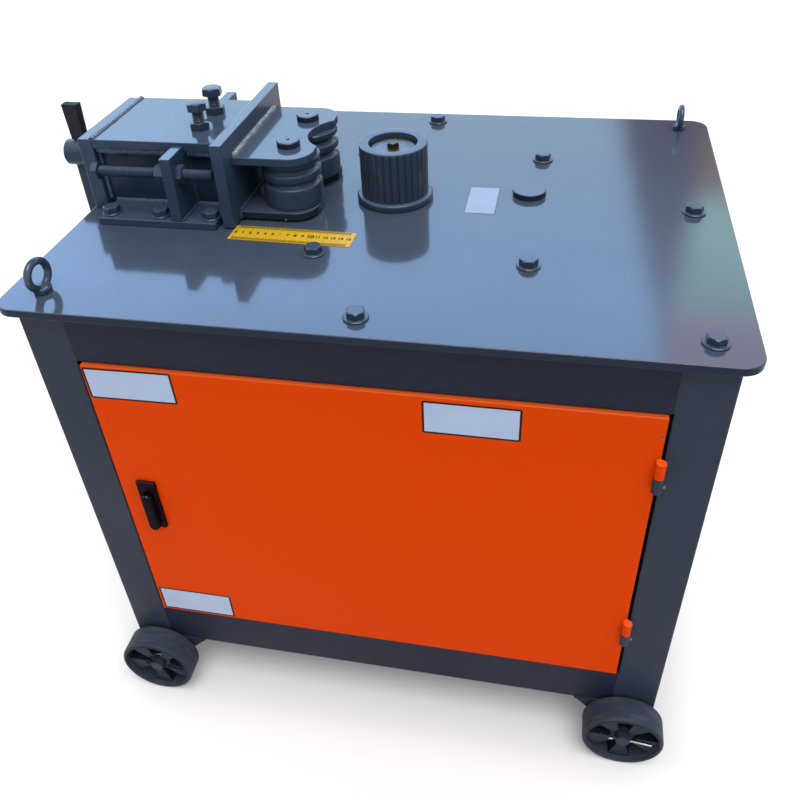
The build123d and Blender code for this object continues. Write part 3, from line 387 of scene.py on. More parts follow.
def unitDrum(put, sides):
    # a drum of radius and height 1, and each point's flat arm, the arm's length and angle, and its level
    drum = put(cylinder, {"Vertices": sides, "Fill Segments": 2, "Radius": 1.0, "Depth": 1.0})
    x, y, z = put(splitXyz, (put(position),), pick=None).outputs
    flat = put(joinXyz, (x, y))
    radius = put(vectors, (flat,), pick="Value", operation="LENGTH")
    return drum, flat, radius, put("ARCTAN2", (y, x)), put("ADD", (z, 0.5))


def setDrum(put, drum, arm, reach, level):
    outwards = put(vectors, {0: arm, "Scale": reach}, operation="SCALE")
    moved = put(vectors, (outwards, put(joinXyz, {2: level})), operation="ADD")
    return put(movePoints, {"Geometry": drum, "Position": moved})


def hexPrism(put, flats, height, lift):
    # a drum pushed out to six flats, its top corners cut back by a 30 degree cone
    drum, flat, radius, angle, level = unitDrum(put, 48)
    wedge = put("WRAP", (angle, math.pi / 6, -math.pi / 6))
    half = put("MULTIPLY", (flats, 0.5))
    rimReach = put("DIVIDE", (half, put("COSINE", (wedge,))))
    crown = put("MULTIPLY", (half, 0.93))
    inReach = put("MULTIPLY", (put("MULTIPLY", (radius, 2.0)), crown))
    onRim = put("GREATER_THAN", (radius, 0.75))
    reach = put(mixer, {0: onRim, 2: inReach, 3: rimReach})
    past = put("MAXIMUM", (put("SUBTRACT", (reach, crown)), 0.0))
    drop = put("MULTIPLY", (past, math.tan(math.radians(30))))
    top = put("SUBTRACT", (height, drop))
    level = put("MINIMUM", (put("MULTIPLY", (level, height)), top))
    level = put("ADD", (level, lift))
    return setDrum(put, drum, put(vectors, (flat,), operation="NORMALIZE"), reach, level)


def rimDisc(put, radius, height, lift):
    # a disc whose upper rim is broken by a small chamfer
    drum, flat, reach, angle, level = unitDrum(put, 40)
    onRim = put("GREATER_THAN", (reach, 0.75))
    spread = put("MULTIPLY", (put(mixer, {0: onRim, 2: 1.86, 3: 1.0}), radius))
    low = put(mixer, {0: onRim, 2: 1.0, 3: 0.7})
    level = put("MULTIPLY", (put("MULTIPLY", (level, low)), height))
    return setDrum(put, drum, flat, spread, put("ADD", (level, lift)))


def makeBoltTree():
    # washer, chamfered head, plain shank and nut on every seat point, each head turned its own way
    tree, put, given = newTree("hexBolts",
                               ["flats", "headHeight", "washerRadius", "washerHeight", "shankRadius",
                                            "shankLength", "nutHeight", "nutDrop", "seed"])
    head = hexPrism(put, given["flats"], given["headHeight"], given["washerHeight"])
    washer = rimDisc(put, given["washerRadius"], given["washerHeight"], 0.0)
    below = put("MULTIPLY", (given["shankLength"], -1.0))
    shank = rimDisc(put, given["shankRadius"], given["shankLength"], below)
    sunk = put("MULTIPLY", (given["nutDrop"], -1.0))
    nut = hexPrism(put, given["flats"], given["nutHeight"], sunk)
    whole = put("GeometryNodeJoinGeometry", pick=None)
    for part, size in ((nut, "nutHeight"), (shank, "shankLength"), (washer, "washerHeight"),
                       (head, "headHeight")):
        made = put("FunctionNodeCompare", (given[size], 0.00001), operation="GREATER_THAN")
        part = put("GeometryNodeSwitch", {"Switch": made, "True": part}, input_type="GEOMETRY")
        tree.links.new(part, whole.inputs[0])
    turn = put("FunctionNodeRandomValue", {0: (0, 0, 0), 1: (0, 0, 1.05), "Seed": given["seed"]},
               data_type="FLOAT_VECTOR")
    placed = put(onPoints, {"Points": given["Geometry"], "Instance": whole.outputs[0], "Rotation": turn})
    endTree(put, placed, given["finish"])
    return tree


def makeThreadTree():
    # a sheet rolled into a rod, its radius falling and rising once in every pitch along a helix
    tree, put, given = newTree("threadedRods", ["radius", "length", "pitch", "depth"])
    rows = put("DIVIDE", (given["length"], given["pitch"]))
    rows = put("MULTIPLY_ADD", (rows, 8.0, 3.0))
    sheet = put("GeometryNodeMeshGrid", {"Size X": 1.0, "Size Y": 1.0, "Vertices X": 33,
                                         "Vertices Y": rows})
    x, y, z = put(splitXyz, (put(position),), pick=None).outputs
    # the first and last row close the rod's ends
    share = put("ADD", (y, 0.5))
    row = put("SUBTRACT", (rows, 1.0))
    row = put("FLOOR", (row,))
    last = put("SUBTRACT", (row, 2.0))
    row = put("MULTIPLY", (share, row))
    row = put("SUBTRACT", (row, 1.0))
    along = put("DIVIDE", (row, last))
    kept = put(clamp, (along,))
    off = put("SUBTRACT", (along, kept))
    off = put("ABSOLUTE", (off,))
    solid = put("LESS_THAN", (off, 0.00001))
    level = put("MULTIPLY", (kept, given["length"]))
    wave = put("DIVIDE", (level, given["pitch"]))
    wave = put("SUBTRACT", (wave, x))
    wave = put("PINGPONG", (wave, 0.5))
    wave = put(clamp, (put("MULTIPLY_ADD", (wave, 2.6, -0.15)),))
    fall = put("MULTIPLY", (wave, given["depth"]))
    reach = put("SUBTRACT", (given["radius"], fall))
    reach = put("MULTIPLY", (reach, solid))
    angle = put("MULTIPLY", (x, -2 * math.pi))
    across = put("MULTIPLY", (put("COSINE", (angle,)), reach))
    beside = put("MULTIPLY", (put("SINE", (angle,)), reach))
    moved = put(joinXyz, (across, beside, level))
    rolled = put(movePoints, {"Geometry": sheet, "Position": moved})
    closed = put("GeometryNodeMergeByDistance", {"Geometry": rolled, "Distance": 0.000005})
    placed = put(onPoints, {"Points": given["Geometry"], "Instance": closed})
    endTree(put, placed, given["finish"])
    return tree


def makeWeldTree():
    # a tube along each seam, swelling once in every ripple and roughened by noise
    tree, put, given = newTree("weldBeads", ["radius", "ripple", "uneven", "seed"])
    path = put("GeometryNodeMeshToCurve", (given["Geometry"],))
    step = put("DIVIDE", (given["ripple"], 5.0))
    path = put("GeometryNodeResampleCurve", {"Curve": path, "Length": step}, mode="LENGTH")
    run = put("GeometryNodeSplineParameter", pick="Length")
    path = put("GeometryNodeStoreNamedAttribute", {"Geometry": path, "Name": "run", "Value": run},
               data_type="FLOAT", domain="POINT")
    ring = put("GeometryNodeCurvePrimitiveCircle", {"Resolution": 12, "Radius": given["radius"]})
    tube = put("GeometryNodeCurveToMesh", {"Curve": path, "Profile Curve": ring, "Fill Caps": True})
    run = put(namedValue, {"Name": "run"}, data_type="FLOAT")
    wave = put("DIVIDE", (run, given["ripple"]))
    wave = put("MULTIPLY", (wave, 2 * math.pi))
    wave = put("SINE", (wave,))
    scale = put("DIVIDE", (0.6, given["ripple"]))
    rough = put(noise, {"W": given["seed"], "Scale": scale, "Detail": 2.0}, noise_dimensions="4D")
    rough = put("MULTIPLY_ADD", (rough, 6.0, -3.0))
    swell = put("ADD", (wave, rough))
    swell = put("MULTIPLY", (swell, given["uneven"]))
    shift = put(vectors, {0: put("GeometryNodeInputNormal"), "Scale": swell}, operation="SCALE")
    bead = put(movePoints, {"Geometry": tube, "Offset": shift})
    endTree(put, bead, given["finish"])
    return tree


def makeTickTree():
    # one stroke a millimetre, longer at every fifth and longest at every tenth
    tree, put, given = newTree("rulerTicks",
                               ["pitch", "count", "width", "tick", "fifth", "tenth", "inkHeight"])
    line = put("GeometryNodeMeshLine", {"Count": given["count"], "Offset": put(joinXyz, (given["pitch"],))})
    index = put("GeometryNodeInputIndex")
    reach = given["tick"]
    for every, size in ((5.0, given["fifth"]), (10.0, given["tenth"])):
        left = put("MODULO", (index, every))
        hit = put("LESS_THAN", (left, 0.5))
        reach = put(mixer, {0: hit, 2: reach, 3: size})
    stroke = put("GeometryNodeMeshCube", {"Size": (1, 1, 1)})
    stroke = put("GeometryNodeTransform", {"Geometry": stroke, "Translation": (0, 0.5, 0.5)})
    scale = put(joinXyz, (given["width"], reach, given["inkHeight"]))
    placed = put(onPoints, {"Points": line, "Instance": stroke, "Scale": scale})
    endTree(put, placed, given["finish"])
    return tree


def makeFluteTree():
    # round bottomed grooves cut at even angles into the band that is marked on the turned body
    tree, put, given = newTree("rollerFlutes", ["count", "cutHalf", "cutDepth", "bodyRadius", "middle"])
    arm = put(vectors, (put(position), given["middle"]), operation="SUBTRACT")
    x, y, z = put(splitXyz, (arm,), pick=None).outputs
    towards = put(vectors, (put(joinXyz, (x, y)),), operation="NORMALIZE")
    angle = put("ARCTAN2", (y, x))
    half = put("DIVIDE", (math.pi, given["count"]))
    minus = put("MULTIPLY", (half, -1.0))
    wedge = put("WRAP", (angle, half, minus))
    aside = put("MULTIPLY", (wedge, given["bodyRadius"]))
    aside = put("DIVIDE", (aside, given["cutHalf"]))
    aside = put("POWER", (aside, 2.0))
    aside = put("SUBTRACT", (1.0, aside))
    aside = put("MAXIMUM", (aside, 0.0))
    depth = put("SQRT", (aside,))
    depth = put("MULTIPLY", (depth, given["cutDepth"]))
    depth = put("MULTIPLY", (depth, put(namedValue, {"Name": "band"}, data_type="FLOAT")))
    depth = put("MULTIPLY", (depth, -1.0))
    shift = put(vectors, {0: towards, "Scale": depth}, operation="SCALE")
    cut = put(movePoints, {"Geometry": given["Geometry"], "Offset": shift})
    endTree(put, cut, given["finish"])
    return tree


boltTree, threadTree, weldTree = makeBoltTree(), makeThreadTree(), makeWeldTree()
tickTree, fluteTree = makeTickTree(), makeFluteTree()
print("node trees made")

# plates, cabinet and running gear, rounded from their solids
cabinet = {"x": 403, "y": 300, "openingX": 345, "doorFront": -305}
folds = {"postOutside": 2.6, "postInside": 1.2, "postCut": 0.8, "doorSkin": 1.8, "doorCut": 0.35}


def postCorner(middle, run):
    # the folded corners of a post are rounder than its cut edges
    onFace = abs(abs(middle.y) - cabinet["y"]) < 0.5 and abs(run.z) > 0.1
    outside = onFace and abs(abs(middle.x) - cabinet["x"]) < 0.5
    inside = onFace and abs(abs(middle.x) - cabinet["openingX"]) < 0.5
    return folds["postOutside"] if outside else folds["postInside"] if inside else None


def doorFold(middle, run):
    # the skin's long edges are folded, the rest of the door is cut
    onSkin = abs(middle.y - cabinet["doorFront"]) < 0.3 and run.length > 0.2
    return folds["doorSkin"] if onSkin else folds["doorCut"]


finishes = [  # material, record slot, edge rounding of each node in mm
    (slateEnamel, "slate_paint", {"table_plate": 1.3, "shaft_cap": 0.6, "lower_roller_plate": 1.0}),
    (pressEnamel, "slate_paint", {"housing_end_plate": 1.2, "housing_top_plate": 1.1, "base_flanges": 1.0,
                                  "stop_brackets": 1.0, "head_plate": 1.1, "upper_roller_plate": 1.0}),
    (wallEnamel, "slate_paint", {"side_plates": 0.9}),
    (slateBrushed, "slate_paint", {"screw_handle": 1.2}),
    (railPowder, "slate_paint", {"front_top_rail": 1.1, "front_bottom_rail": 1.1}),
    (slatePowder, "slate_paint", {"left_side_panel": 0.6, "right_side_panel": 0.6, "rear_panel": 0.6,
                                  "floor_pan": 0.6, "axle_brackets": 1.0, "wheel_axles": 0.6,
                                  "hinge_pins": 0.8}),
    (blackNylon, "black_plastic", {"latch_plate": 1.4, "latch_handle": 2.4}),
    (gripVinyl, "black_plastic", {"handle_grips": 1.2}),
    (brightSteel, "zinc_steel", {"latch_cam": 0.6}),
    (brightSteel, "machined_steel", {"bearings": 0.5}),
    (machinedSteel, "machined_steel", {"drive_spindle": 0.8, "spindle_gear": 0.3, "pinion_shaft": 0.3,
                                       "motor_rotor": 0.6, "gib_strip": 0.5, "ram_block": 0.8,
                                       "lead_screw": 0.8}),
    (castIron, "cast_case", {"gear_case": 1.6, "gear_case_cover": 1.6}),
    (motorEnamel, "motor_paint", {"gear_head": 2.0, "motor_shell": 0.5}),
    (greyAbs, "grey_plastic", {"switch_box": 4.0}),
]
for material, slot, widths in finishes:
    for node, width in widths.items():
        dress(node, material, slot, width)
corners = [f"{end}_{side}" for end in ("front", "rear") for side in ("left", "right")]
for corner in corners:
    dress(corner + "_post", slatePowder, "slate_paint", folds["postCut"], softer=postCorner)
dress("door", orangePowder, "orange_paint", folds["doorCut"], softer=doorFold)
retainers = dress("axle_retainers", [brightSteel, railPowder], "zinc_steel", 0.25, segments=2, fold=40)
# the washers lie in this band of y, the pins outside it
# bright metal only on the left washers' upper halves and the right pins' lower legs: a painted highlight
# where light catches them; everything else is painted dark
washers = {"inner": 326.2, "outer": 328.8, "axleZ": -668}
for polygon in retainers.data.polygons:
    spot = (polygon.center - origin) * 1000
    onWasher = washers["inner"] < abs(spot.y) < washers["outer"]
    above, below = spot.z > washers["axleZ"], spot.z < washers["axleZ"]
    bare = onWasher and above if spot.x < 0 else not onWasher and below
    polygon.material_index = 0 if bare else 1
print("plates and cabinet dressed")

# wheels: dusty rubber tread, cleaner sides, moulded centre, its deep faces in painted shade
wheel = {"treadInner": 50.5, "rounding": 1.2, "wellFace": 332.5, "flattest": 0.75}
for corner in corners:
    low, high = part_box(corner + "_wheel")
    hub = (low + high) / 2
    piece = dress(corner + "_wheel", [wheelRubber, wheelCentre, wheelWellShade], "wheel_rubber",
                  wheel["rounding"])
    for polygon in piece.data.polygons:
        arm = Vector((polygon.center.x - hub.x, polygon.center.z - hub.z)).length * 1000
        inWellShade = abs(polygon.center.y - origin.y) * 1000 < wheel["wellFace"]
        tread = arm > wheel["treadInner"] and abs(polygon.normal.y) < wheel["flattest"]
        polygon.material_index = 0 if tread else 2 if inWellShade else 1
print("wheels dressed")

bolts = {"flats": 19.5, "headHeight": 8, "washerRadius": 14.5, "washerHeight": 2.5, "shankRadius": 5.95,
         "nutHeight": 10}
noNut = {"nutHeight": 0, "nutDrop": 0}
edgeSeats = [(3, -283), (5, 283), (376.5, 4.5), (374, -280.5), (-376.5, 283)]
caseSeats = [(-81, -152), (-81, 149), (179, -152), (179, 149)]
flangeSeats = [(x, pressY + side * 106) for side in (-1, 1) for x in (-374, -304, -234)]


def growBolts(seats, z, seed, finish=slateBrushed, **sizes):
    given = inMetres(bolts | sizes) | {"seed": seed, "finish": finish}
    return grow(boltTree, given, pathMesh([[at(x, y, z)] for x, y in seats]))


edgeBolts = growBolts(edgeSeats, 0, 3, shankLength=29, nutDrop=26)
caseBolts = growBolts(caseSeats, 0, 8, shankLength=24, nutDrop=24, nutHeight=0)
tableMesh = joinMeshes([edgeBolts, caseBolts])
addPiece("table_hex_bolts", tableMesh, slateBrushed, "frame", ["table_bolts"], sharp=20)
flangeBolts = growBolts(flangeSeats, 10, 5, washerRadius=12.5, shankLength=33, nutDrop=30)
addPiece("flange_hex_bolts", flangeBolts, slateBrushed, "frame", ["base_bolts"], sharp=20)
rollerBolt = growBolts([(-11, pressY)], 71, 2, passivatedSteel, flats=15, washerHeight=0, headHeight=7,
                       shankRadius=4.95, shankLength=32, **noNut)
addPiece("roller_hex_bolt", rollerBolt, passivatedSteel, "drive", ["roller_bolt"], sharp=20)


def growNuts(flats, height, places, seed, washer=0, washerRadius=1):
    sizes = {"flats": flats, "headHeight": height, "washerRadius": washerRadius, "washerHeight": washer,
             "shankRadius": 1, "shankLength": 0, **noNut}
    given = inMetres(sizes) | {"seed": seed, "finish": slateBrushed}
    return grow(boltTree, given, pathMesh([[place] for place in places]))


def growRods(sizes, length, places):
    given = inMetres({"length": length} | {key: sizes[key] for key in ("radius", "pitch", "depth")})
    return grow(threadTree, given | {"finish": slateBrushed}, pathMesh([[place] for place in places]))


# stop bolts lie along x: grown upright, then laid over
stops = {"flats": 21, "head": 9, "radius": 6.95, "length": 154.5, "pitch": 2.4, "depth": 1.0, "y": 104,
         "z": 68.5, "headRight": -376.5, "nutRight": -282, "nut": 13, "washer": 3, "washerRadius": 11.7,
         "jamLeft": -268, "jam": 8}
start = [(0, 0, 0)]
stopParts = []
for row, side in enumerate((-1, 1)):
    rod = growRods(stops, stops["length"], start)
    head = growNuts(stops["flats"], stops["head"], start, 11 + row)
    nut = growNuts(stops["flats"], stops["nut"], start, 21 + row, stops["washer"], stops["washerRadius"])
    jam = growNuts(stops["flats"], stops["jam"], start, 31 + row)
    for part, x, turn in ((rod, "headRight", 90), (head, "headRight", -90), (nut, "nutRight", -90),
                          (jam, "jamLeft", 90)):
        place = at(stops[x], pressY + side * stops["y"], stops["z"])
        part.transform(Matrix.Translation(place) @ Matrix.Rotation(math.radians(turn), 4, "Y"))
        stopParts.append(part)
addPiece("stop_threaded_bolts", joinMeshes(stopParts), slateBrushed, "frame", ["stop_bolts"])

jacks = {"flats": 24, "nut": 10, "head": 10, "x": -263, "spread": 28, "tip": 83, "headLow": 124,
         "plate": 99, "radius": 7.9, "pitch": 2.4, "depth": 1.0}
tips, headSeats, nutSeats = ([at(jacks["x"], pressY + side * jacks["spread"], jacks[z]) for side in (-1, 1)]
                             for z in ("tip", "headLow", "plate"))
jackRods = growRods(jacks, jacks["headLow"] - jacks["tip"], tips)
jackHeads = growNuts(jacks["flats"], jacks["head"], headSeats, 41)
jackNuts = growNuts(jacks["flats"], jacks["nut"], nutSeats, 47)
jackMesh = joinMeshes([jackRods, jackHeads, jackNuts])
addPiece("jack_threaded_bolts", jackMesh, slateBrushed, "frame", ["jack_bolts"])
print("bolts grown")

# drive roller, its washer, the pressure rollers and their pins: profiles of radius and height
drive = {"flutes": 30, "columns": 720, "bandLow": 9, "bandHigh": 76.5, "bandInner": 44, "bandOuter": 46}
flutes = {"cutHalf": 1.25, "cutDepth": 1.7, "bodyRadius": 45}
rim = [(20.1, 1), (49.8, 1), (50.7, 1.3), (51, 2.2), (51, 7), (50.8, 8.2), (50.2, 9.2), (49.3, 9.8),
       (48.2, 10)]
barrel = [(45, height) for height in (10, 10.6, 20, 35, 50, 65, 74, 76.6)] + [(44.75, 77.4), (44.2, 77.8)]
bowl = [(43.4, 78), (33.2, 78), (32.4, 77.7), (32, 76.8), (32, 66), (20.1, 66)]
driveFoot = at(-11, pressY, 0)
rollerMesh = turned(rim + barrel + bowl, driveFoot, steps=drive["columns"])
bandMark = rollerMesh.attributes.new("band", "FLOAT", "POINT")
for vertex, mark in zip(rollerMesh.vertices, bandMark.data):
    arm = (vertex.co - driveFoot) * 1000
    onBarrel = drive["bandInner"] < arm.xy.length < drive["bandOuter"]
    mark.value = 1.0 if onBarrel and drive["bandLow"] < arm.z < drive["bandHigh"] else 0.0
cuts = inMetres(flutes) | {"count": drive["flutes"], "middle": driveFoot, "finish": rollerEnamel}
rollerMesh = grow(fluteTree, cuts, rollerMesh)
addPiece("fluted_drive_roller", rollerMesh, rollerEnamel, "drive", ["drive_roller"],
         sharp=30)
washer = [(5.5, 66), (28.4, 66), (29, 66.6), (29, 70.4), (28.4, 71), (5.5, 71)]
addPiece("roller_end_washer", turned(washer, driveFoot), dullSteel, "drive",
         ["roller_washer"])

pressure = {"x": -138, "spread": 45}
grooved = [(10.05, 13.4), (37.8, 13.4), (39, 14.6), (39, 38.6), (38.6, 40.4), (37.4, 41.3), (34.4, 42.6),
           (33.2, 43.8), (33, 45.4), (33.2, 47.2), (34.4, 48.4), (37.4, 49.6), (38.6, 50.6), (39, 52.2),
           (39, 57.2), (38.6, 58.9), (37.4, 59.8), (34.4, 61.1), (33.2, 62.3), (33, 63.9), (33.2, 65.7),
           (34.4, 66.9), (37.4, 68.1), (38.6, 69.1), (39, 70.6), (39, 75.4), (37.8, 76.6), (10.05, 76.6)]
pin = [(0, 3), (9.2, 3), (10, 3.8), (10, 87), (14.4, 87), (15, 87.6), (15, 93.8), (14, 95), (2.8, 95),
       (2, 94.4), (1.6, 91.4), (0, 91)]
pins = []
for side, name in ((-1, "front"), (1, "rear")):
    spot = at(pressure["x"], pressY + side * pressure["spread"], 0)
    addPiece(f"{name}_grooved_roller", turned(grooved, spot), slateBrushed, f"{name}_roller",
             [f"{name}_pressure_roller"], sharp=42)
    pins.append(turned(pin, spot, steps=64, closed=False))
addPiece("roller_pin_heads", joinMeshes(pins), slateEnamel, "head", ["roller_pins"],
         sharp=30)
print("rollers turned")

# lifting eyes: ring and collar run into one another as a forging does
eyes = {"voxel": 0.75, "smoothing": 9}
eye = addObject("carrier", nodes["eye_bolts"].data.copy())
forge = eye.modifiers.new("forge", "REMESH")
forge.mode = "VOXEL"
forge.voxel_size = eyes["voxel"] / 1000
forge.use_smooth_shade = True
ease = eye.modifiers.new("ease", "SMOOTH")
ease.factor = 0.5
ease.iterations = eyes["smoothing"]
addPiece("forged_eye_bolts", bakeModifiers(eye), bluedZinc, "frame", ["eye_bolts"], sharp=70)


def growBeads(seams, finish, seed, sizes):
    given = inMetres(sizes) | {"seed": seed, "finish": finish}
    return grow(weldTree, given, pathMesh([[at(*end) for end in seam] for seam in seams]))


def weld(name, seams, finish, seed, sizes, body="frame"):
    addPiece(name, growBeads(seams, finish, seed, sizes), finish, body, sharp=60)


beads = {"painted": {"radius": 2.6, "ripple": 3.2, "uneven": 0.28},
         "corner": {"radius": 1.3, "ripple": 3, "uneven": 0.2},
         "top": {"radius": 5.6, "ripple": 4.6, "uneven": 0.5},
         "wall": {"radius": 2.7, "ripple": 3.6, "uneven": 0.4},
         "end": {"radius": 4.4, "ripple": 6, "uneven": 0.4},
         "bare": {"radius": 4.2, "ripple": 3.6, "uneven": 0.55},
         "low": {"radius": 3, "ripple": 3.4, "uneven": 0.4},
         "hinge": {"radius": 2.1, "ripple": 3, "uneven": 0.3}}
frameSeams, wallSeams, topSeams = [], [], []
for side in (-1, 1):
    wall, under = pressY + side * 66, pressY + side * 69
    wallSeams += [[(-386, wall, 10), (-283, wall, 10)], [(-267, wall, 10), (-224, wall, 10)],
                  [(-395, wall, 12), (-395, wall, 80)]]
    topSeams += [[(-394, under, 83), (-283, under, 83)], [(-267, under, 83), (-224, under, 83)]]
    frameSeams.append([(-268, wall, 12), (-268, wall, 86)])
    frameSeams += [[(x, wall + side * 2, 10), (x, wall + side * 55, 10)] for x in (-282, -268)]
weld("frame_weld_beads", frameSeams, slateBrushed, 4, beads["painted"])
bracketSeams = [[(side * 400, end * 300, -635), (side * 290, end * 300, -635)] for side in (-1, 1)
                for end in (-1, 1)]
weld("bracket_weld_beads", bracketSeams, railPowder, 7, beads["painted"])
cornerSeams = [[(side * cabinet["openingX"], -299.2, high), (side * cabinet["openingX"], -299.2, low)]
               for side in (-1, 1) for high, low in ((-12, -80), (-561, -633))]
weld("post_corner_welds", cornerSeams, slatePowder, 27, beads["corner"])
# fat beads under the top plate's overhang, thinner ones down the side plates
wallBeads = [growBeads(topSeams, weldHighlight, 15, beads["top"]),
             growBeads(wallSeams, weldHighlight, 16, beads["wall"])]
addPiece("side_plate_weld_beads", joinMeshes(wallBeads), weldHighlight, "frame", sharp=60)
weld("end_plate_weld_bead", [[(-395, -67, 97.2), (-395, 86, 97.2)]], pressEnamel, 6, beads["end"])
weld("head_weld_bead", [[(-200, -74, 87), (-200, 94, 87)]], weldMetal, 9, beads["bare"], "head")
lowSeams = [[(-200, -78, 13), (-200, 98, 13)], [(-200, -79.5, 4), (-200, -79.5, 12)]]
weld("lower_plate_weld_bead", lowSeams, slateBrushed, 12, beads["low"], "head")

# short runs that hold the hinge halves: grey on the post, orange on the door, a bare tack at each seam
hinges = {"seams": (-164.5, -453), "post": (348.4, -300.8, -21.5, -3), "door": (337.6, -305.4, 2, 21.5),
          "tack": (349.8, -301.2, -24, -20)}  # x, y, and where each run starts and ends from its seam
for name, run, finish, body, slot, seed in (
        ("hinge_post_welds", "post", slatePowder, "frame", "slate_paint", 17),
        ("hinge_door_welds", "door", orangePowder, "door_leaf", "orange_paint", 19),
        ("hinge_bare_tacks", "tack", weldMetal, "frame", "machined_steel", 23)):
    x, y, first, last = hinges[run]
    runs = [[(x, y, seam + first), (x, y, seam + last)] for seam in hinges["seams"]]
    weld(name, runs, finish, seed, beads["hinge"], body)
print("welds run")

# setting mark scribed on the lower plate's front edge, over the ruler, and a chip in the door's paint
mark = {"x": -138.5, "y": -79.5, "z": 4.25, "sizes": (1.4, 0.3, 1.9)}
markMesh = block(at(mark["x"], mark["y"], mark["z"]), mark["sizes"])
addPiece("scribed_setting_mark", markMesh, shadedVinyl, "head")
chip = {"x": 336.5, "z": -109.7, "profile": [(0, -0.05), (2.1, -0.05), (1.89, 0.08), (0, 0.08)],
        "uneven": 0.25}
chipMesh = turned(chip["profile"], Vector((0, 0, 0)), steps=14, closed=False)
for vertex in chipMesh.vertices:  # an uneven rim, as a knock leaves it
    vertex.co.x *= 1 + chip["uneven"] * math.sin(7 * math.atan2(vertex.co.y, vertex.co.x))
chipMesh.transform(Matrix.Translation(at(chip["x"], cabinet["doorFront"], chip["z"])) @ faceFront)
addPiece("door_paint_chip", chipMesh, castIron, "door_leaf")
print("marks made")

# ruler: lacquered strip, ticks on both edges, numbers between them, the ten larger
ruler = {"x": -120.5, "y": -114, "turn": -1.4, "zeroX": -76, "tickY": -17.4, "height": 0.6, "digits": 7.2,
         "ten": 1.35, "bold": 0.35, "tenBold": 0.45, "ink": 0.025}
ticks = {"pitch": 1, "width": 0.5, "tick": 5, "fifth": 6.5, "tenth": 8.5, "inkHeight": 0.05}
rulerTurn = Matrix.Rotation(math.radians(ruler["turn"]), 4, "Z")
rulerPlace = Matrix.Translation(at(ruler["x"], ruler["y"], 0)) @ rulerTurn
dress("ruler_strip", rulerYellow, "ruler_yellow", 0.12, segments=2)
inked = []
for side in (1, -1):
    row = grow(tickTree, inMetres(ticks) | {"count": 151, "finish": printInk}, pathMesh([start]))
    zero = Vector((ruler["zeroX"], ruler["tickY"], ruler["height"])) / 1000
    row.transform(rulerPlace @ Matrix.Diagonal((1, side, 1, 1)) @ Matrix.Translation(zero))
    if side < 0:
        row.flip_normals()
    inked.append(row)
for number in range(16):
    text = bpy.data.curves.new("number", "FONT")
    text.body = str(number)
    text.align_x = "CENTER"
    text.align_y = "CENTER"
    text.size = ruler["digits"] * (ruler["ten"] if number == 10 else 1.0) / 1000
    text.offset = ruler["tenBold" if number == 10 else "bold"] / 1000
    text.extrude = ruler["ink"] / 1000
    digits = bakeModifiers(addObject("number", text))
    spot = Vector((ruler["zeroX"] + number * 10, 0.5, ruler["height"] + 0.02)) / 1000
    digits.transform(rulerPlace @ Matrix.Translation(spot))
    inked.append(digits)
addPiece("ruler_print", joinMeshes(inked), printInk, "frame", sharp=30)
print("ruler printed")


def blankPlate(width, height, corner, edge):
    # a dark sheet with rounded corners, and on it a white one that leaves an edge all round
    shape = bmesh.new()
    for inset, low, high, index in ((0.0, 0.0, 0.12, 1), (edge, 0.02, 0.2, 0)):
        radius = max(corner - inset, 0.4)
        reachX, reachY = width / 2 - inset - radius, height / 2 - inset - radius
        outline = []
        for signX, signY, first in ((1, 1, 0), (-1, 1, 90), (-1, -1, 180), (1, -1, 270)):
            for angle in (math.radians(first + step * 15) for step in range(7)):
                outline.append((signX * reachX + radius * math.cos(angle),
                                signY * reachY + radius * math.sin(angle)))
        lower, upper = ([shape.verts.new(Vector((x, y, level)) / 1000) for x, y in outline]
                        for level in (low, high))
        faces = [shape.faces.new(lower[::-1]), shape.faces.new(upper)]
        for i in range(len(outline)):
            after = (i + 1) % len(outline)
            faces.append(shape.faces.new((lower[i], lower[after], upper[after], upper[i])))
        for face in faces:
            face.material_index = index
    return toMesh(shape, "plate")


# blank plates: on the door by middle x, z, width, height and turn, on the table by x, y, width and height
plates = {"corner": 3, "edge": 2.6, "table": (107, 11.5, 40, 77), "tableCorner": 1.0, "tableEdge": 0.5,
          "door": [(-280.5, -109.4, 114.8, 47.1, 1), (132.3, -113.5, 112, 47.5, 0),
                   (-279.2, -528.7, 113.8, 48.9, 0.2)]}
doorPlates = []
for x, z, width, height, turn in plates["door"]:
    plate = blankPlate(width, height, plates["corner"], plates["edge"])
    tilt = Matrix.Rotation(math.radians(turn), 4, "Z")
    plate.transform(Matrix.Translation(at(x, cabinet["doorFront"], z)) @ faceFront @ tilt)
    doorPlates.append(plate)
addPiece("door_blank_plates", joinMeshes(doorPlates), [whiteVinyl, printInk], "door_leaf")
x, y, width, height = plates["table"]
tablePlate = blankPlate(width, height, plates["tableCorner"], plates["tableEdge"])
tablePlate.transform(Matrix.Translation(at(x, y, 0)))
addPiece("table_blank_plate", tablePlate, [shadedVinyl, printInk], "frame")
print("blank plates placed")

# switch box front: lid, four screws, two buttons
box = {"x": -190, "front": 228, "middle": -280, "lid": (112, 4, 152), "screwX": 48, "screwZ": 68,
       "buttonZ": 26}
lidFace = box["front"] - box["lid"][1]
lidMesh = block(at(box["x"], (box["front"] + lidFace) / 2, box["middle"]), box["lid"])
addPiece("switch_box_lid", roundEdges(lidMesh, 1.6), greyAbs, "frame", sharp=0)
screw = [(0, 0), (3.6, 0), (4, 0.4), (3.9, 1.4), (3.2, 2.2), (1.2, 2.2), (1.0, 1.2), (0, 1.2)]
knob = [(0, 0), (14, 0), (14, 2.4), (13.2, 3.2), (11, 3.2), (11, 7), (10.2, 8), (0, 8.4)]


def onLid(profile, steps, x, z):
    mesh = turned(profile, Vector((0, 0, 0)), steps=steps, closed=False)
    mesh.transform(Matrix.Translation(at(box["x"] + x, lidFace, box["middle"] + z)) @ faceFront)
    return mesh


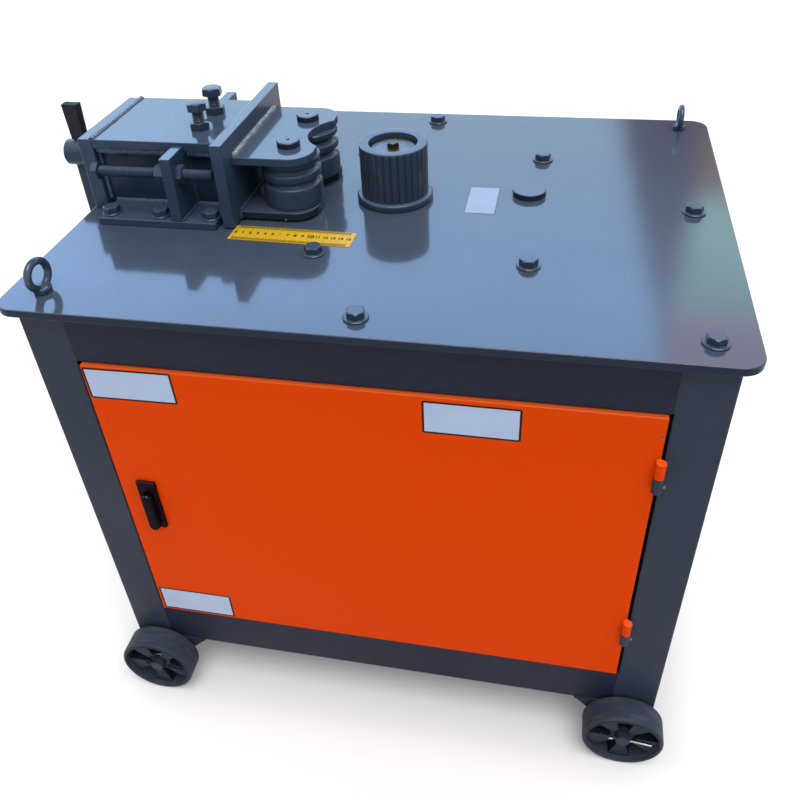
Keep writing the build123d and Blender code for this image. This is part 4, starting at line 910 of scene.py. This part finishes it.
screws = [onLid(screw, 24, sx * box["screwX"], sz * box["screwZ"]) for sx in (-1, 1) for sz in (-1, 1)]
addPiece("switch_box_screws", joinMeshes(screws), brightSteel, "frame")
for name, material, side in (("start_button", greenAbs, 1), ("stop_button", redAbs, -1)):
    addPiece(name, onLid(knob, 48, 0, side * box["buttonZ"]), material, "frame")
print("switch box closed")

# camera, turned by its heading, its fall and its lean, in degrees
view = {"place": (0.241415, -0.994528, 1.221861), "yaw": -13.26165, "pitch": 37.52445, "roll": 3.27453,
        "lens": 37.023, "sensor": 36.0, "shiftX": 0.0075, "shiftY": -0.040}
camera = bpy.data.cameras.new("camera")
camera.lens, camera.sensor_width = view["lens"], view["sensor"]
camera.shift_x, camera.shift_y = view["shiftX"], view["shiftY"]
yaw, pitch, roll = (math.radians(view[key]) for key in ("yaw", "pitch", "roll"))
ahead = Vector((math.sin(yaw) * math.cos(pitch), math.cos(yaw) * math.cos(pitch), -math.sin(pitch)))
right = Vector((math.cos(yaw), -math.sin(yaw), 0))
down = ahead.cross(right)
across = math.cos(roll) * right + math.sin(roll) * down
below = -math.sin(roll) * right + math.cos(roll) * down
cameraObject = addObject("camera", camera)
axes = Matrix((across, -below, -ahead)).transposed().to_4x4()
cameraObject.matrix_world = Matrix.Translation(view["place"]) @ axes
bpy.context.scene.camera = cameraObject


def looksDirectly(put):
    # 1 for rays from the camera and for what shiny or clear faces show
    rays = put("ShaderNodeLightPath", pick=None).outputs
    seen = put("MAXIMUM", (rays["Is Camera Ray"], rays["Is Glossy Ray"]))
    return put("MAXIMUM", (seen, rays["Is Transmission Ray"]))


# pale matt floor, faintly mottled; what looks at it directly sees it lifted to white, with its shadows
light = {"frontSky": 0.52, "rearSky": 1.0, "sun": 2.0, "sunSoftness": 44, "sunPlace": (0.5, -1.1, 3.4),
         "sunTarget": (0, 0, 0.4), "nearLift": 0.06, "farLift": 0.27, "reach": 0.1}
paleFloor = makeFinish("pale_matt_floor", base="#e6e6e6", shade="#e4e4e4", blotch=400, grain=60, depth=0.02,
                       roughness=(0.85, 0.95), specular=0.0)
floor = {"half": 20}
floorMesh = bpy.data.meshes.new("floor")
around = ((-1, -1), (1, -1), (1, 1), (-1, 1))
floorMesh.from_pydata([(x * floor["half"], y * floor["half"], 0) for x, y in around], [], [(0, 1, 2, 3)])
floorMesh.materials.append(paleFloor)
floorObject = addObject("floor", floorMesh)
# the lift grows from the cabinet's foot outwards, so the floor near the foot stays darker: a painted shadow
# added to the real one
tree = paleFloor.node_tree
put = partial(addNode, tree)
apart = put(vectors, (put(coords, pick="Object"), (origin.x, origin.y, 0)), operation="SUBTRACT")
apart = put(vectors, (apart,), operation="ABSOLUTE")
apart = put(vectors, (apart, at(cabinet["x"], cabinet["y"], 0) - origin), operation="SUBTRACT")
apart = put(vectors, (apart, (0, 0, 0)), operation="MAXIMUM")
gap = put(vectors, (apart,), pick="Value", operation="LENGTH")
share = put(mapRange, (gap, 0.0, light["reach"], light["nearLift"], light["farLift"]),
            interpolation_type="SMOOTHSTEP")
lift = put("MULTIPLY", (looksDirectly(put), share))
shader = tree.nodes["Principled BSDF"]
shader.inputs["Emission Color"].default_value = (1, 1, 1, 1)
tree.links.new(lift, shader.inputs["Emission Strength"])

# soft sky, stronger from behind, where the lamp doesn't reach, and white to whatever looks at it directly
world = bpy.data.worlds.new("studio")
bpy.context.scene.world = world
world.use_nodes = True
tree = world.node_tree
put = partial(addNode, tree)
soft = tree.nodes["Background"]
soft.inputs["Color"].default_value = tint("#f4f7ff")
heading = put(splitXyz, (put(coords, pick="Generated"),), pick=1)
fill = put(mapRange, (heading, -0.1, 0.5, light["frontSky"], light["rearSky"]),
           interpolation_type="SMOOTHSTEP")
tree.links.new(fill, soft.inputs["Strength"])
white = put("ShaderNodeBackground", {"Color": (1, 1, 1, 1), "Strength": 1.0})
mixed = put("ShaderNodeMixShader", (looksDirectly(put), soft.outputs[0], white))
tree.links.new(mixed, tree.nodes["World Output"].inputs["Surface"])

lamp = bpy.data.lights.new("high_softbox", "SUN")
lamp.energy = light["sun"]
lamp.color = tint("#fffcf8")[:3]
lamp.angle = math.radians(light["sunSoftness"])
lampObject = addObject("high_softbox", lamp)
lampObject.location = light["sunPlace"]
towards = Vector(light["sunTarget"]) - Vector(light["sunPlace"])
lampObject.rotation_euler = towards.to_track_quat("-Z", "Y").to_euler()
lampObject.visible_camera = False

# a card behind the table that only glossy faces see: blue, bluer upwards, a dark band near its right end
card = {"y": 4.0, "left": -6.0, "right": 1.8, "low": 1.2, "high": 4.8, "glow": 4.9}
backCard = bpy.data.materials.new("blue_back_card")
backCard.use_nodes = True
tree = backCard.node_tree
put = partial(addNode, tree)
x, y, z = put(splitXyz, (put(coords, pick="Object"),), pick=None).outputs
rise = put(mapRange, (z, 2.2, 3.5))
steep = put("MULTIPLY", (rise, rise))
lean = put("MULTIPLY_ADD", (z, -0.28, x))
fades = ((z, 2.45, 2.75), (z, 3.35, 3.55), (lean, -0.14, 0.06), (x, 0.95, 1.18))
midway, top, band, end = (put(mapRange, fade, interpolation_type="SMOOTHSTEP") for fade in fades)


def blend(share, first, last):
    ends = [colour if isinstance(colour, bpy.types.NodeSocket) else tint(colour)
            for colour in (first, last)]
    return put(mixer, {0: share, 6: ends[0], 7: ends[1]}, pick=2, data_type="RGBA")


blue = blend(rise, "#798ea1", "#98bdf1")
dark = blend(steep, "#311d1d", "#7e85a4")
past = blend(top, blend(midway, "#6c4b31", "#90b5b1"), "#9f8c9e")
glow = blend(end, blend(band, blue, dark), past)
shine = put("ShaderNodeEmission", {"Color": glow, "Strength": card["glow"]})
tree.links.new(shine, tree.nodes["Material Output"].inputs["Surface"])
cardMesh = bpy.data.meshes.new("back_card")
sides = (("left", "low"), ("right", "low"), ("right", "high"), ("left", "high"))
cardMesh.from_pydata([(card[side], card["y"], card[level]) for side, level in sides], [], [(0, 1, 2, 3)])
cardMesh.materials.append(backCard)
cardObject = addObject("back_card", cardMesh)
for ray in ("camera", "diffuse", "transmission", "volume_scatter", "shadow"):
    setattr(cardObject, "visible_" + ray, False)
bpy.context.scene.view_settings.view_transform = "Standard"
print("camera and light set")
